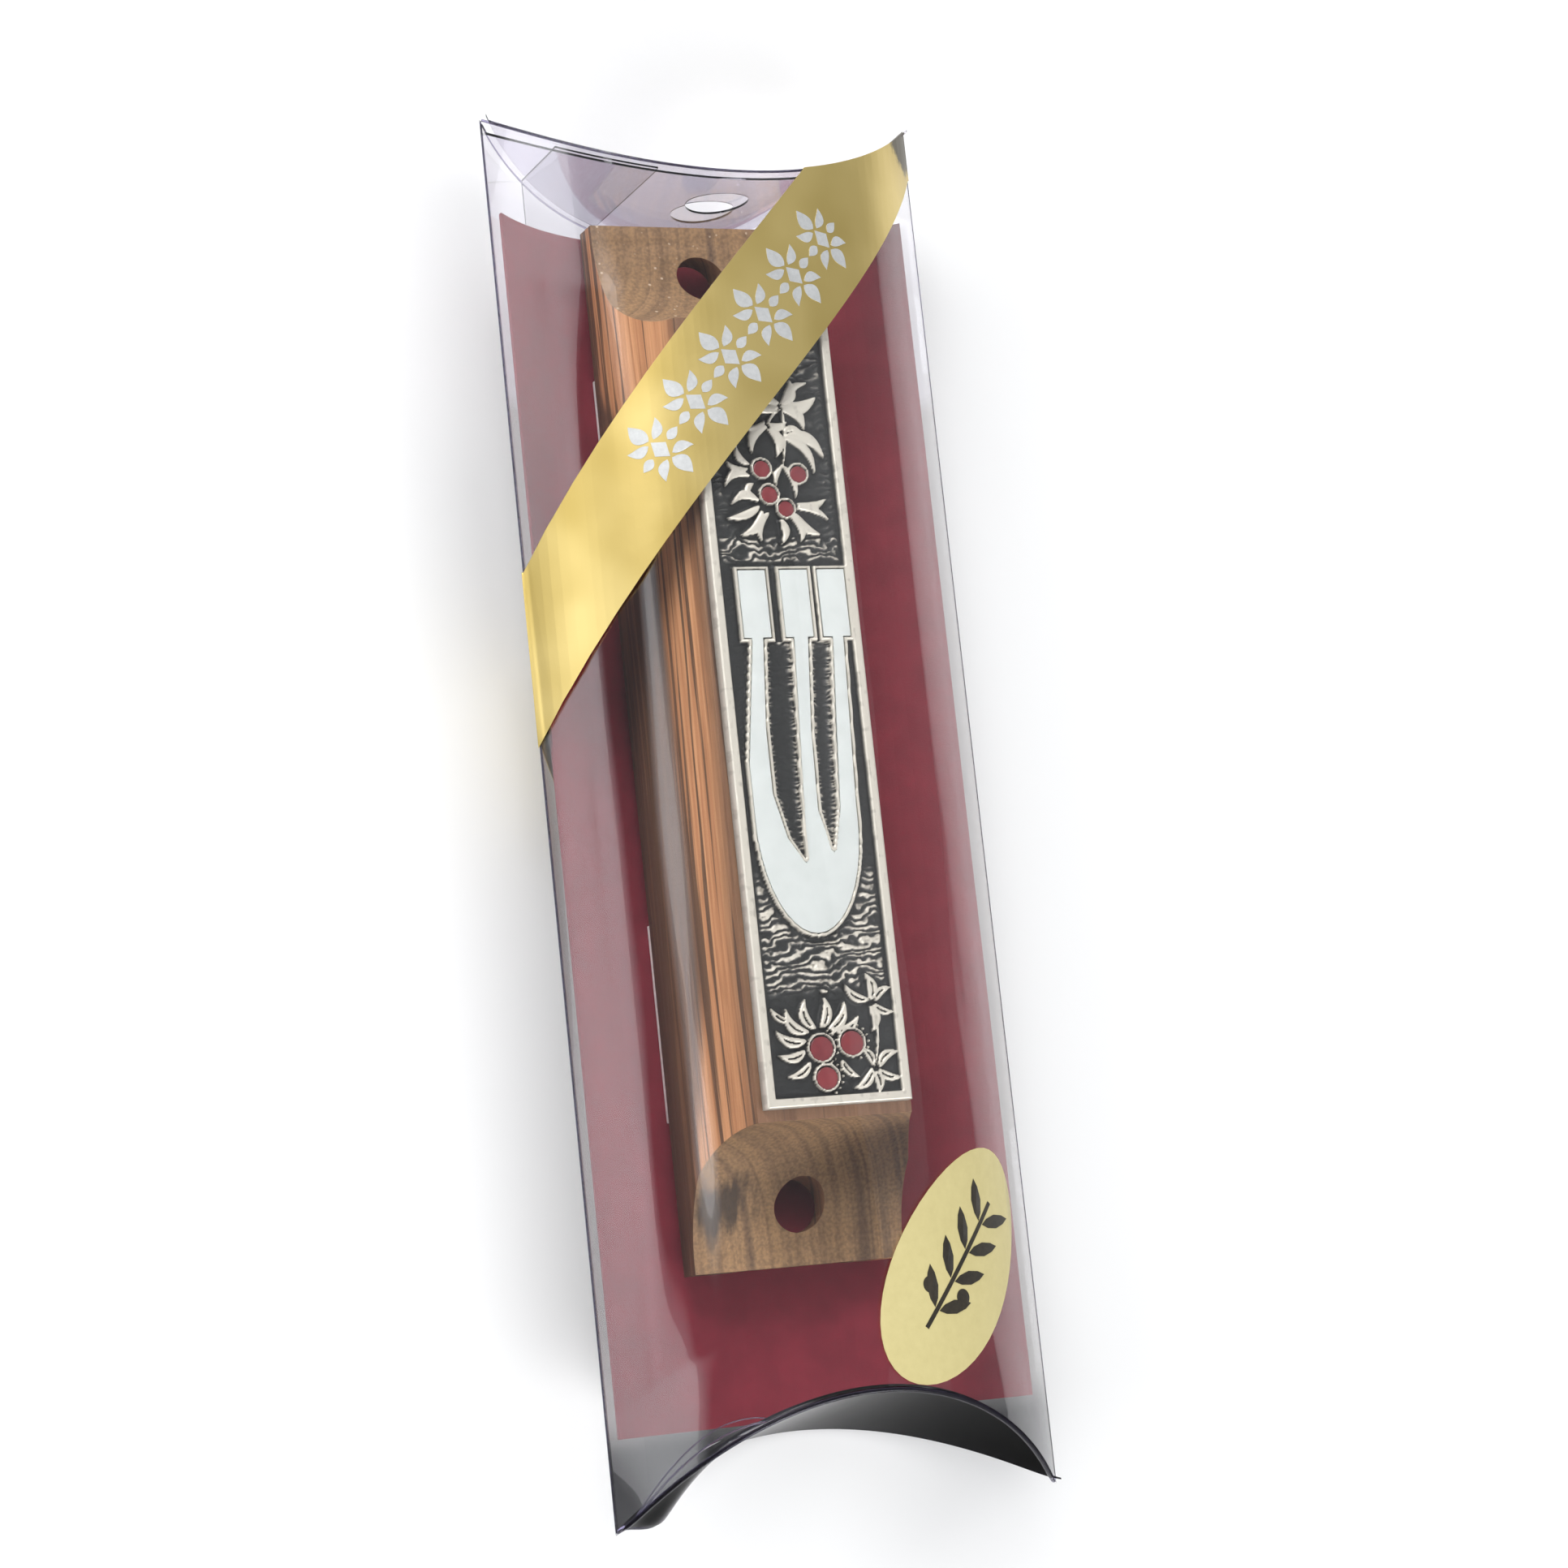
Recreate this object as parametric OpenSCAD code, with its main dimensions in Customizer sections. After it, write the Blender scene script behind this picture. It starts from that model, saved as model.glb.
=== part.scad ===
// Mezuzah case in its clear pillow pack: an olive-wood case with an enamelled
// pewter plate, taped to a burgundy card inside a folded film sleeve.
// Millimetres. X is the width, Y the length (hanging end at +Y), Z is up and is
// the side that faces the buyer. The pack lies on its back; the origin is the
// middle of its footprint.

/* [Case] */
// length of the wooden case
case_length = 118.6; // [90:0.1:150]
// width of the wooden case across its flat back
case_width = 25; // [20:0.1:32]
// height from the flat back to the flat front face
case_height = 16.8; // [13:0.1:22]
// height of the upright sides before they lean in
side_height = 7.2; // [5:0.1:10]
// width of the flat front face
front_face = 18; // [13:0.1:24]
// thickness of the screw tabs at their very ends
tab_thickness = 3.4; // [2.5:0.1:5]
// distance from each end to the centre of its screw hole
hole_inset = 6.6; // [5:0.1:9]
// diameter of the two screw holes
hole_d = 6; // [3:0.1:7]

/* [Scroll pocket] */
// width of the pocket routed in the back
pocket_width = 11; // [8:0.1:14]
// wood left in front of the pocket
pocket_wall = 5.9; // [3:0.1:9]
// length of the rolled scroll
scroll_length = 70; // [55:0.5:90]
// outer diameter of the rolled scroll, kept within the pocket
scroll_d = 8.4; // [6:0.1:10]
// thickness of the sliding back cover
cover_thickness = 1.6; // [1:0.1:2.5]

/* [Plate] */
// side margin between the plate and the edge of the front face
plate_margin = 0.55; // [0.3:0.05:1.5]
// end margin between the plate and the scooped ends
plate_end_margin = 1.25; // [0.5:0.05:4]
// thickness of the cast plate at its rim
plate_thickness = 1.6; // [1.2:0.1:2.5]
// depth of the sunken ground below the rim
ground_depth = 0.7; // [0.4:0.05:1]

/* [Film pack] */
// width of the pack beyond the case on each side
side_room = 13.55; // [10:0.05:20]
// length of the pack beyond the case, both ends together
end_room = 37.8; // [30:0.1:60]
// how much of that length lies below the case
end_room_low = 26.9; // [14:0.1:40]
// bulge of the back panel below the side creases
back_bulge = 12.3; // [10:0.1:18]
// thickness of the film
film = 0.25; // [0.15:0.05:0.4]
// how far the top end is tucked in at its middle
top_dip = 9.8; // [8:0.1:14]
// how far the bottom end is tucked in at its middle
bottom_dip = 10.7; // [8:0.1:14]
// lean of the tucked bottom end, in degrees
bottom_lean = 8; // [0:0.5:12]
// diameter of the hanging holes in the top flaps
hang_d = 7.2; // [5:0.1:9]

/* [Card and labels] */
// thickness of the card
card_thickness = 0.5; // [0.3:0.05:0.8]
// clearance between the card edge and the side crease
card_side_gap = 1.65; // [1.4:0.05:4]
// height of the foam pads at the edge of the case
pad_edge = 1.3; // [0.8:0.1:3]
// width of the gold seal band measured along the pack
band_run = 19.2; // [12:0.1:26]
// where the lower edge of the band crosses the middle of the pack
band_mid = 42.2; // [30:0.1:60]
// thickness of the foil
foil = 0.12; // [0.05:0.01:0.2]
// length of the oval sticker
sticker_length = 29.6; // [20:0.1:36]
// width of the oval sticker
sticker_width = 16.6; // [12:0.1:22]

/* [Hidden] */
$fn = 96;
hw = case_width/2 + side_room;
len = case_length + end_room;
hl = len/2;
case_y0 = -hl + end_room_low;
case_y1 = case_y0 + case_length;
case_mid = (case_y0 + case_y1)/2;
back_r = (back_bulge*back_bulge + hw*hw)/(2*back_bulge);
back_c = back_r - back_bulge;
card_gap = 0.35;
card_r = back_r - film - card_gap;
card_hw = hw - card_side_gap;
function card_z(x) = back_c - sqrt(pow(card_r - card_thickness, 2) - x*x);
case_z = card_z(case_width/2) + pad_edge;
plate_hw = front_face/2 - plate_margin;
cove_r = case_height + 0.6 - tab_thickness;
cove_in = 0.9;
cove_reach = cove_in + sqrt(cove_r*cove_r - 0.36);
plate_len = case_length - 2*(cove_reach + plate_end_margin);
glue = 0.2;
plate_z = case_z + case_height + glue;
film_room = 0.72;
film_h = plate_z + plate_thickness + film_room;
front_c = (plate_hw*plate_hw + film_h*film_h - hw*hw)/(2*film_h);
front_r = sqrt(hw*hw + front_c*front_c);
front_bulge = front_c + front_r;
top_r = (top_dip*top_dip + hw*hw)/(2*top_dip);
low_dip = bottom_dip*cos(bottom_lean);
low_r = (low_dip*low_dip + hw*hw)/(2*low_dip);
nest = 0.3;
card_top = hl - top_dip - 2*film - nest - 0.35;
card_low = -hl + bottom_dip + back_bulge*-tan(bottom_lean) + 2*film + nest + 0.55;
pocket_depth = case_height - pocket_wall;
pocket_length = scroll_length + 6;
groove = cover_thickness + 0.2;
scroll_fit = min(scroll_d, pocket_depth - groove - 0.6, pocket_width - 1);
// the cover reaches 3 mm past the round ends of the pocket, both ends alike
cover_len = pocket_length + pocket_width + 6;
cover_hw = pocket_width/2 + 1.85;
cover_slack = 0.4;
art = min(plate_len/86.3, plate_hw/8.45);

module at_pack() translate([0, 0, back_bulge]) children();

// cylinders that the panels, the card and the tucked ends are cut from
module front_cyl(t) translate([0, 0, front_c]) rotate([90, 0, 0])
    cylinder(r = front_r + t, h = 3*len, center = true);
module back_cyl(t) translate([0, 0, back_c]) rotate([90, 0, 0])
    cylinder(r = back_r + t, h = 3*len, center = true);
module top_cyl(t) translate([0, hl - top_dip + top_r, 0])
    cylinder(r = top_r + t, h = 6*back_bulge, center = true);
module low_cyl(t) translate([0, -hl, 0]) rotate([-bottom_lean, 0, 0])
    translate([0, low_dip - low_r, 0])
        cylinder(r = low_r + t, h = 6*back_bulge, center = true);
module lower_half() translate([-2*hw, -2*hl, -3*hw]) cube([4*hw, 4*hl, 3*hw]);
module lens(tf, tb) intersection() { front_cyl(tf); back_cyl(tb); }
module length_block(y0, y1) translate([-2*hw, y0, -3*hw])
    cube([4*hw, y1 - y0, 6*hw]);

module front_shell(t0, t1, y0, y1) intersection() {
    difference() { front_cyl(t1); front_cyl(t0); }
    translate([-2*hw, y0, 0]) cube([4*hw, y1 - y0, 3*hw]);
}
module back_shell(t0, t1, y0, y1) intersection() {
    difference() { back_cyl(t1); back_cyl(t0); }
    translate([-2*hw, y0, -3*hw]) cube([4*hw, y1 - y0, 3*hw]);
}

// film pack
module front_panel() color([0.82, 0.84, 0.9, 0.35]) at_pack() difference() {
    front_shell(-film, 0, -hl, hl);
    top_cyl(film);
    low_cyl(film + 0.1);
}
module back_panel() color([0.8, 0.82, 0.88, 0.35]) at_pack() difference() {
    back_shell(-film, 0, -hl, hl);
    top_cyl(2*film + nest);
    low_cyl(2*film + nest + 0.1);
}
module top_flap_front() color([0.78, 0.8, 0.88, 0.4]) at_pack() difference() {
    intersection() {
        top_cyl(film);
        lens(0, -1.2);
        length_block(0, hl);
    }
    top_cyl(0);
    translate([0, hl, -0.8]) rotate([90, 0, 0])
        cylinder(d = hang_d, h = 2*hw, center = true);
}
module top_flap_back() color([0.76, 0.78, 0.86, 0.4]) at_pack() difference() {
    intersection() {
        top_cyl(2*film + nest);
        lens(-film - 0.9, 0);
        length_block(0, hl);
    }
    top_cyl(film + nest);
    translate([0, hl, 3.6]) rotate([90, 0, 0])
        cylinder(d = hang_d, h = 2*hw, center = true);
}
module bottom_flap_front() color([0.5, 0.5, 0.56, 0.5]) at_pack() difference() {
    intersection() {
        low_cyl(film);
        lens(0, -1.2);
        length_block(-hl, 0);
    }
    low_cyl(0);
}
module bottom_flap_back() color([0.48, 0.48, 0.54, 0.5]) at_pack() difference() {
    intersection() {
        low_cyl(2*film + nest);
        lens(-film - 0.9, 0);
        length_block(-hl, 0);
    }
    low_cyl(film + nest);
}
// the overlap where the wrapped sheet is glued, on the panel and on the top flap
seam_x0 = 6.55 - hw;
seam_x1 = seam_x0 + 9.9;
module seam_block() translate([seam_x0, -2*hl, -3*hw])
    cube([seam_x1 - seam_x0, 4*hl, 6*hw]);
module seam_tab() color([0.7, 0.7, 0.78, 0.5]) at_pack() intersection() {
    seam_block();
    union() {
        difference() {
            back_shell(0, film, -hl, hl);
            top_cyl(film + nest);
            low_cyl(2*film + nest + 0.1);
        }
        difference() {
            intersection() {
                top_cyl(film + nest);
                lens(-film - 0.9, film);
                length_block(0, hl);
            }
            top_cyl(film + 0.05);
        }
    }
}

// gold seal band: a strip of foil wound over the front and turned round both
// sides and over the top crease
function front_run(x) = front_r*asin(max(-1, min(1, x/front_r)))*PI/180;
edge_run = front_run(hw);
function band_low(x) = band_mid + 1.083*front_run(x) - 0.0028*pow(front_run(x), 2);
function band_high(x) = band_low(x) + band_run;
function back_run(x) = back_r*(asin(hw/back_r) - asin(abs(x)/back_r))*PI/180;
band_steps = 20;
band_hw = hw + 0.5;
tail_x = hw - 6;
module band_plan() polygon(concat(
    [for (i = [0:band_steps]) let (x = -band_hw + 2*band_hw*i/band_steps) [x, band_low(x)]],
    [for (i = [band_steps:-1:0]) let (x = -band_hw + 2*band_hw*i/band_steps) [x, band_high(x)]]));
module left_tail_plan() let (y0 = band_low(-hw), y1 = band_high(-hw)) polygon(concat(
    [for (i = [0:6]) let (x = hw - (hw - tail_x)*i/6) [-x, y0 - 1.25*back_run(x)]],
    [for (i = [6:-1:0]) let (x = hw - (hw - tail_x)*i/6) [-x, y1 - 1.25*back_run(x)]],
    [[-hw - 1, y1], [-hw - 1, y0]]));
module right_tail_plan() let (y0 = band_low(hw)) polygon(concat(
    [for (i = [0:6]) let (x = hw - (hw - tail_x)*i/6) [x, y0 + 0.9*back_run(x)]],
    [[tail_x, hl + 5], [hw + 1, hl + 5], [hw + 1, y0]]));
function arc_front(x) = front_c + sqrt(front_r*front_r - x*x);
function top_y(x) = hl - top_dip + top_r - sqrt(top_r*top_r - x*x);
band_cross = [for (i = [0:40]) let (x = hw*i/40) if (band_high(x) > top_y(x)) x][0];
module band_flap_face() polygon(concat(
    [[band_cross, arc_front(band_cross) + 2]],
    [for (i = [0:8]) let (x = band_cross + (hw - band_cross)*i/8)
        [x, arc_front(x) - (band_high(x) - top_y(x))]],
    [[hw + 1, -back_bulge], [hw + 1, arc_front(band_cross) + 2]]));
module seal_band() color([0.88, 0.76, 0.42]) at_pack() union() {
    difference() {
        intersection() {
            front_shell(0, foil, -hl, hl);
            linear_extrude(3*hw) band_plan();
        }
        top_cyl(-foil);
    }
    intersection() {
        back_shell(0, foil, -hl, hl);
        translate([0, 0, -2*hw]) linear_extrude(2*hw) left_tail_plan();
    }
    difference() {
        intersection() {
            back_shell(0, foil, -hl, hl);
            translate([0, 0, -2*hw]) linear_extrude(2*hw) right_tail_plan();
        }
        top_cyl(-foil);
    }
    difference() {
        intersection() {
            top_cyl(0);
            lens(0, 0);
            length_block(0, hl);
            translate([0, 3*hl, 0]) rotate([90, 0, 0]) linear_extrude(4*hl) band_flap_face();
        }
        top_cyl(-foil);
    }
}
// leaf shape, its stalk end at the origin and its tip along +X
module leaf(l, w) polygon([[0, 0], [0.2*l, -0.34*w], [0.5*l, -0.5*w], [0.8*l, -0.32*w],
    [l, 0], [0.8*l, 0.32*w], [0.5*l, 0.5*w], [0.2*l, 0.34*w]]);
// plain leaf-and-lozenge border printed in silver along the band
band_marks = 7;
module band_ornament() color([0.86, 0.87, 0.86]) at_pack() intersection() {
    front_shell(foil, foil + 0.05, -hl, hl);
    linear_extrude(3*hw)
        for (i = [0:band_marks - 1])
            let (x = -13.5 + 27*i/(band_marks - 1) - 2.2, y = band_low(x) + band_run/2)
            translate([x, y]) rotate(48) {
                circle(d = 1.9, $fn = 24);
                for (s = [-1, 1]) rotate(90*s) translate([1.4, 0]) leaf(3.6, 1.3);
                for (s = [0:1]) rotate(180*s) rotate(34) translate([1.5, 0]) leaf(2.6, 0.9);
                for (s = [0:1]) rotate(180*s) rotate(-34) translate([1.5, 0]) leaf(2.6, 0.9);
            }
}
// oval sticker, bent over the front panel near the bottom right corner
sticker_u = 12.5*hw/26.05;
sticker_y = -hl + 25;
sticker_turn = 41;
module sticker_plan(grow) polygon([for (i = [0:47]) let (
        a = 360*i/48,
        p = (sticker_length/2 + grow)*cos(a),
        q = (sticker_width/2 + grow)*sin(a),
        u = sticker_u + p*sin(sticker_turn) + q*cos(sticker_turn),
        y = sticker_y + p*cos(sticker_turn) - q*sin(sticker_turn))
    [front_r*sin(u*180/PI/front_r), y]]);
module oval_sticker() color([0.88, 0.85, 0.56]) at_pack() intersection() {
    front_shell(0, 0.1, -hl, hl);
    linear_extrude(3*hw) sticker_plan(0);
}
// plain olive sprig printed on the sticker
module sticker_print() color([0.18, 0.15, 0.1]) at_pack() intersection() {
    front_shell(0.1, 0.14, -hl, hl);
    linear_extrude(3*hw)
        translate([front_r*sin(sticker_u*180/PI/front_r), sticker_y])
        rotate(90 - sticker_turn) {
            translate([-8.5, -0.25]) square([17, 0.5]);
            for (s = [-1, 1]) for (k = [0:3])
                translate([-6.4 + 3.9*k, 0]) rotate(s*42) translate([0.5, 0]) leaf(4.6, 1.5);
            for (s = [-1, 1])
                translate([-3.6 + s*0.8, s*-2.2]) circle(d = 1.8, $fn = 24);
        }
}

// card and its foam pads
module insert_card() color([0.45, 0.11, 0.16]) at_pack() intersection() {
    difference() { back_cyl(-film - card_gap); back_cyl(-film - card_gap - card_thickness); }
    translate([-card_hw, card_low, -3*hw]) cube([2*card_hw, card_top - card_low, 3*hw + back_bulge]);
    lower_half();
}
pad_x0 = cover_hw + 0.8;
pad_w = case_width/2 - pad_x0 - 0.3;
module card_pads() color([0.9, 0.9, 0.88]) at_pack() intersection() {
    back_cyl(-film - card_gap - card_thickness);
    for (s = [-1, 1], y = [case_y0 + 17, case_y1 - 39])
        translate([s > 0 ? pad_x0 : -pad_x0 - pad_w, y, -2*back_bulge])
            cube([pad_w, 22, 2*back_bulge + case_z]);
}

// wooden case
module at_case() translate([0, case_mid, back_bulge + case_z]) children();
cl = case_length/2;
module case_section() polygon([
    [-case_width/2, 0], [case_width/2, 0], [case_width/2, side_height],
    [front_face/2, case_height], [-front_face/2, case_height], [-case_width/2, side_height]]);
module wood_body() color([0.72, 0.5, 0.33]) at_case() difference() {
    translate([0, cl, 0]) rotate([90, 0, 0]) linear_extrude(case_length) case_section();
    for (s = [-1, 1]) {
        translate([0, s*(cl - cove_in), tab_thickness + cove_r]) rotate([0, 90, 0])
            cylinder(r = cove_r, h = 2*case_width, center = true);
        translate([-case_width, s > 0 ? cl - cove_in : -cl - cove_in, tab_thickness])
            cube([2*case_width, 2*cove_in, 2*case_height]);
        translate([0, s*(cl - hole_inset), -1]) cylinder(d = hole_d, h = 2*case_height);
    }
    // scroll pocket with round ends, and the dovetail groove of its cover
    translate([-pocket_width/2, -pocket_length/2, -1])
        cube([pocket_width, pocket_length, pocket_depth + 1]);
    for (s = [-1, 1]) translate([0, s*pocket_length/2, -1])
        cylinder(d = pocket_width, h = pocket_depth + 1);
    translate([0, cover_len/2 + cover_slack, 0]) rotate([90, 0, 0])
        linear_extrude(case_length) dovetail(0);
}
module dovetail(gap) polygon([
    [-cover_hw + 1 + gap, gap > 0 ? 0 : -1], [cover_hw - 1 - gap, gap > 0 ? 0 : -1],
    [cover_hw - 1 - gap, 0], [cover_hw - gap, groove - gap], [-cover_hw + gap, groove - gap],
    [-cover_hw + 1 + gap, 0]]);
module back_cover() color([0.62, 0.42, 0.27]) at_case() difference() {
    translate([0, cover_len/2, 0]) rotate([90, 0, 0])
        linear_extrude(cover_len) dovetail(0.15);
    // thumb nick near its lower end
    translate([0, 6 - cover_len/2, -1.2]) rotate([0, 90, 0])
        cylinder(r = 1.9, h = 8, center = true);
}
module scroll() color([0.93, 0.89, 0.78]) at_case()
    translate([0, 0, groove + 0.3 + scroll_fit/2]) rotate([90, 0, 0])
        difference() {
            cylinder(d = scroll_fit, h = scroll_length, center = true);
            cylinder(d = scroll_fit - 4.4, h = scroll_length + 2, center = true);
        }

// cast plate with its enamel
module at_plate() translate([0, case_mid, back_bulge + plate_z]) children();
ground = plate_thickness - ground_depth;
module plate_adhesive() color([0.85, 0.83, 0.7]) at_plate()
    translate([-plate_hw + 0.6, -plate_len/2 + 0.6, -glue])
        cube([2*plate_hw - 1.2, plate_len - 1.2, glue]);
// three-pronged letter of the plate, drawn smaller by the wall width e
function bowl(e) = [for (i = [0:20]) let (a = 180 + 9*i)
    [-0.4 + (6.45 - e)*cos(a), -12.4 + (12.7 - e)*sin(a)]];
module shin(e) scale(art) difference() {
    union() {
        for (h = [[-5.9, 4.1], [-1, 4.2], [3.5, 4.1]])
            translate([h[0] + e, 7.5 + e]) square([h[1] - 2*e, 8.4 - 2*e]);
        polygon(concat([[-5 + e, 9], [-5 + e, 7.5], [-6.85 + e, -6]], bowl(e),
            [[6.05 - e, -11], [6.7 - e, 7.5], [6.7 - e, 9]]));
    }
    polygon([[-2.8 - e, 7.5 + e], [-3.6 - e, -2.2], [-3.6 - e, -9.3], [-2.4 - e, -14.2],
        [-1, -16.5 - e], [-0.9 + e*0.8, -11], [-0.5 + e, -2.2], [0 + e, 7.5 + e]]);
    polygon([[2.5 - e, 7.5 + e], [1.7 - e, -2.4], [1.5 - e, -11.3], [2.4, -15.5 - e],
        [3.25 + e, -11.3], [3.8 + e, -2.4], [4.6 + e, 7.5 + e]]);
    translate([-1.8 - e, 7.5 - e]) square([0.8 + 2*e, 12]);
    translate([3.2 - e, 7.5 - e]) square([0.3 + 2*e, 12]);
    translate([-1.8 - e, 7.5]) square([0.8 + 2*e, 12]);
}
// fruit places: three-quarter up the plate and near its foot
upper_fruit = [[-1.3, 26.9, 1.25], [3, 26.3, 1.25], [-0.7, 24, 1.25], [1.1, 22.4, 1.2]];
lower_fruit = [[-1.5, -37, 1.65], [2.1, -36.6, 1.65], [-1.2, -40.2, 1.55]];
module at_upper() translate([0, 0.31*plate_len - 26.9*art]) scale(art) children();
module at_lower() translate([0, -0.43*plate_len + 37*art]) scale(art) children();
module upper_spray() {
    translate([0.3, 23.5]) for (a = [195:22.5:345]) rotate(a) translate([1.7, 0]) leaf(3.6, 1.2);
    translate([2.2, 33.8]) for (a = [-50:42:160]) rotate(a) translate([0.4, 0]) leaf(3.4, 1.35);
    for (a = [-120, -85, -55, -25]) translate([1.2, 31.2]) rotate(a) leaf(4.4, 1.2);
    for (a = [190, 215, 240]) translate([-0.4, 31.8]) rotate(a) leaf(3.9, 1.15);
    translate([0.9, 25]) square([0.5, 9]);
}
module lower_spray() {
    translate([-2.2, -36.4]) for (a = [75:25:230]) rotate(a) translate([1.6, 0]) leaf(3, 1.15);
    translate([5, -32.4]) for (a = [18:72:359]) rotate(a) translate([0.3, 0]) leaf(2.5, 1.05);
    translate([4.6, -39.6]) for (a = [54:72:359]) rotate(a) translate([0.3, 0]) leaf(2.5, 1.05);
}
relief = plate_thickness - ground;
module raised(h) translate([0, 0, ground - 0.1]) linear_extrude(h + 0.1) children();
module metal_plate() color([0.72, 0.7, 0.64]) at_plate() difference() {
    union() {
        translate([-plate_hw, -plate_len/2, 0]) cube([2*plate_hw, plate_len, ground]);
        difference() {
            translate([-plate_hw, -plate_len/2, ground - 0.1])
                cube([2*plate_hw, plate_len, relief + 0.1]);
            translate([-plate_hw + 1, -plate_len/2 + 1, 0])
                cube([2*plate_hw - 2, plate_len - 2, 3*plate_thickness]);
        }
        raised(relief + 0.05) difference() { shin(0); shin(0.42); }
        raised(relief - 0.1) at_upper() upper_spray();
        raised(relief - 0.1) at_lower() lower_spray();
        at_upper() for (f = upper_fruit) translate([f[0], f[1], ground - 0.1])
            cylinder(r = f[2], h = relief + 0.1);
        at_lower() for (f = lower_fruit) translate([f[0], f[1], ground - 0.1])
            cylinder(r = f[2], h = relief + 0.1);
    }
    at_upper() for (f = upper_fruit) translate([f[0], f[1], ground])
        cylinder(r = f[2] - 0.25, h = 2);
    at_lower() for (f = lower_fruit) translate([f[0], f[1], ground])
        cylinder(r = f[2] - 0.3, h = 2);
}
module shin_enamel() color([0.93, 0.94, 0.92]) at_plate()
    translate([0, 0, ground]) linear_extrude(plate_thickness - ground - 0.1) shin(0.44);
module upper_fruit_enamel() color([0.48, 0.13, 0.15]) at_plate()
    translate([0, 0, ground]) linear_extrude(plate_thickness - ground - 0.15)
        at_upper() for (f = upper_fruit) translate([f[0], f[1]]) circle(f[2] - 0.27);
module lower_fruit_enamel() color([0.46, 0.12, 0.14]) at_plate()
    translate([0, 0, ground]) linear_extrude(plate_thickness - ground - 0.15)
        at_lower() for (f = lower_fruit) translate([f[0], f[1]]) circle(f[2] - 0.32);

front_panel();
back_panel();
seam_tab();
top_flap_front();
top_flap_back();
bottom_flap_front();
bottom_flap_back();
seal_band();
band_ornament();
oval_sticker();
sticker_print();
insert_card();
card_pads();
wood_body();
back_cover();
scroll();
plate_adhesive();
metal_plate();
shin_enamel();
upper_fruit_enamel();
lower_fruit_enamel();
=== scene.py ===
import math
import bmesh
import bpy
import numpy as np
from mathutils import Matrix, Vector


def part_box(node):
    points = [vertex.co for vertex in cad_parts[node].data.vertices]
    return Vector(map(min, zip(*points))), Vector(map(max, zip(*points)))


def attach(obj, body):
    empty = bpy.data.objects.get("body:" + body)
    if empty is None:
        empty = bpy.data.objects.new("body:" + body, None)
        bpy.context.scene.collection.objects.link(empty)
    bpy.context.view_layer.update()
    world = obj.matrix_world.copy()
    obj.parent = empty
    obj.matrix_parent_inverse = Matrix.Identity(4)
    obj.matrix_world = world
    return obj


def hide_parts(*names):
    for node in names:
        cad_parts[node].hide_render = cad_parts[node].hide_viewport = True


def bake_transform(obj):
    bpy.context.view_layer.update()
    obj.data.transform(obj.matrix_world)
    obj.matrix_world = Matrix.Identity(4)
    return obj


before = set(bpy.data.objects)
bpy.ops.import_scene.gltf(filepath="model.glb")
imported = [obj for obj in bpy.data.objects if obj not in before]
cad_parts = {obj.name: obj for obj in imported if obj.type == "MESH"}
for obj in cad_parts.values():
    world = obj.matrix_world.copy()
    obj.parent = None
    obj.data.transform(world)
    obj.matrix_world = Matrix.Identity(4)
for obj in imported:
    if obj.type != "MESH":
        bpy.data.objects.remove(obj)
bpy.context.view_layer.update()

MM = 0.001


# ---- Wooden case -----------------------------------------------------------------------
# One length of olive wood, sawn with leaning shoulders and scooped at both ends into
# thin screw tabs. Sanded, its edges just broken, and oiled, so the dark growth lines show.

def put(tree, kind, **values):
    node = tree.nodes.new(kind)
    for name, value in values.items():
        if name in node.inputs:
            node.inputs[name].default_value = value
        else:
            setattr(node, name, value)
    return node


def join(tree, a, b):
    tree.links.new(a, b)


def new_finish(name):
    finish = bpy.data.materials.new(name)
    finish.use_nodes = True
    tree = finish.node_tree
    return finish, tree, tree.nodes["Principled BSDF"]


def mapped(tree, vector, **values):
    fit = put(tree, "ShaderNodeMapping", **values)
    join(tree, vector, fit.inputs["Vector"])
    return fit.outputs["Vector"]


def noise(tree, vector, **values):
    cloud = put(tree, "ShaderNodeTexNoise", **values)
    join(tree, vector, cloud.inputs["Vector"])
    return cloud.outputs["Fac"]


def own_place(tree):
    """The place of each point in the part's own frame, in metres."""
    return put(tree, "ShaderNodeTexCoord").outputs["Object"]


def shades(tree, fac, stops):
    ramp = put(tree, "ShaderNodeValToRGB")
    ramp.color_ramp.elements[0].position = stops[0][0]
    ramp.color_ramp.elements[0].color = (*stops[0][1], 1)
    ramp.color_ramp.elements[1].position = stops[-1][0]
    ramp.color_ramp.elements[1].color = (*stops[-1][1], 1)
    for place, colour in stops[1:-1]:
        step = ramp.color_ramp.elements.new(place)
        step.color = (*colour, 1)
    join(tree, fac, ramp.inputs["Fac"])
    return ramp.outputs["Color"]


def blended(tree, fac, a, b, kind="MIX"):
    mix = put(tree, "ShaderNodeMix", data_type="RGBA", blend_type=kind)
    for socket, value in (("Factor", fac), ("A", a), ("B", b)):
        pins = [s for s in mix.inputs if s.name == socket and s.enabled]
        pin = pins[-1] if socket != "Factor" else pins[0]
        if isinstance(value, (tuple, list)):
            pin.default_value = (*value[:3], 1)
        elif isinstance(value, (int, float)):
            pin.default_value = value
        else:
            join(tree, value, pin)
    return [s for s in mix.outputs if s.enabled][0]


def sums(tree, kind, a, b):
    node = put(tree, "ShaderNodeMath", operation=kind)
    for pin, value in ((0, a), (1, b)):
        if isinstance(value, (int, float)):
            node.inputs[pin].default_value = value
        else:
            join(tree, value, node.inputs[pin])
    return node.outputs[0]


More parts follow.
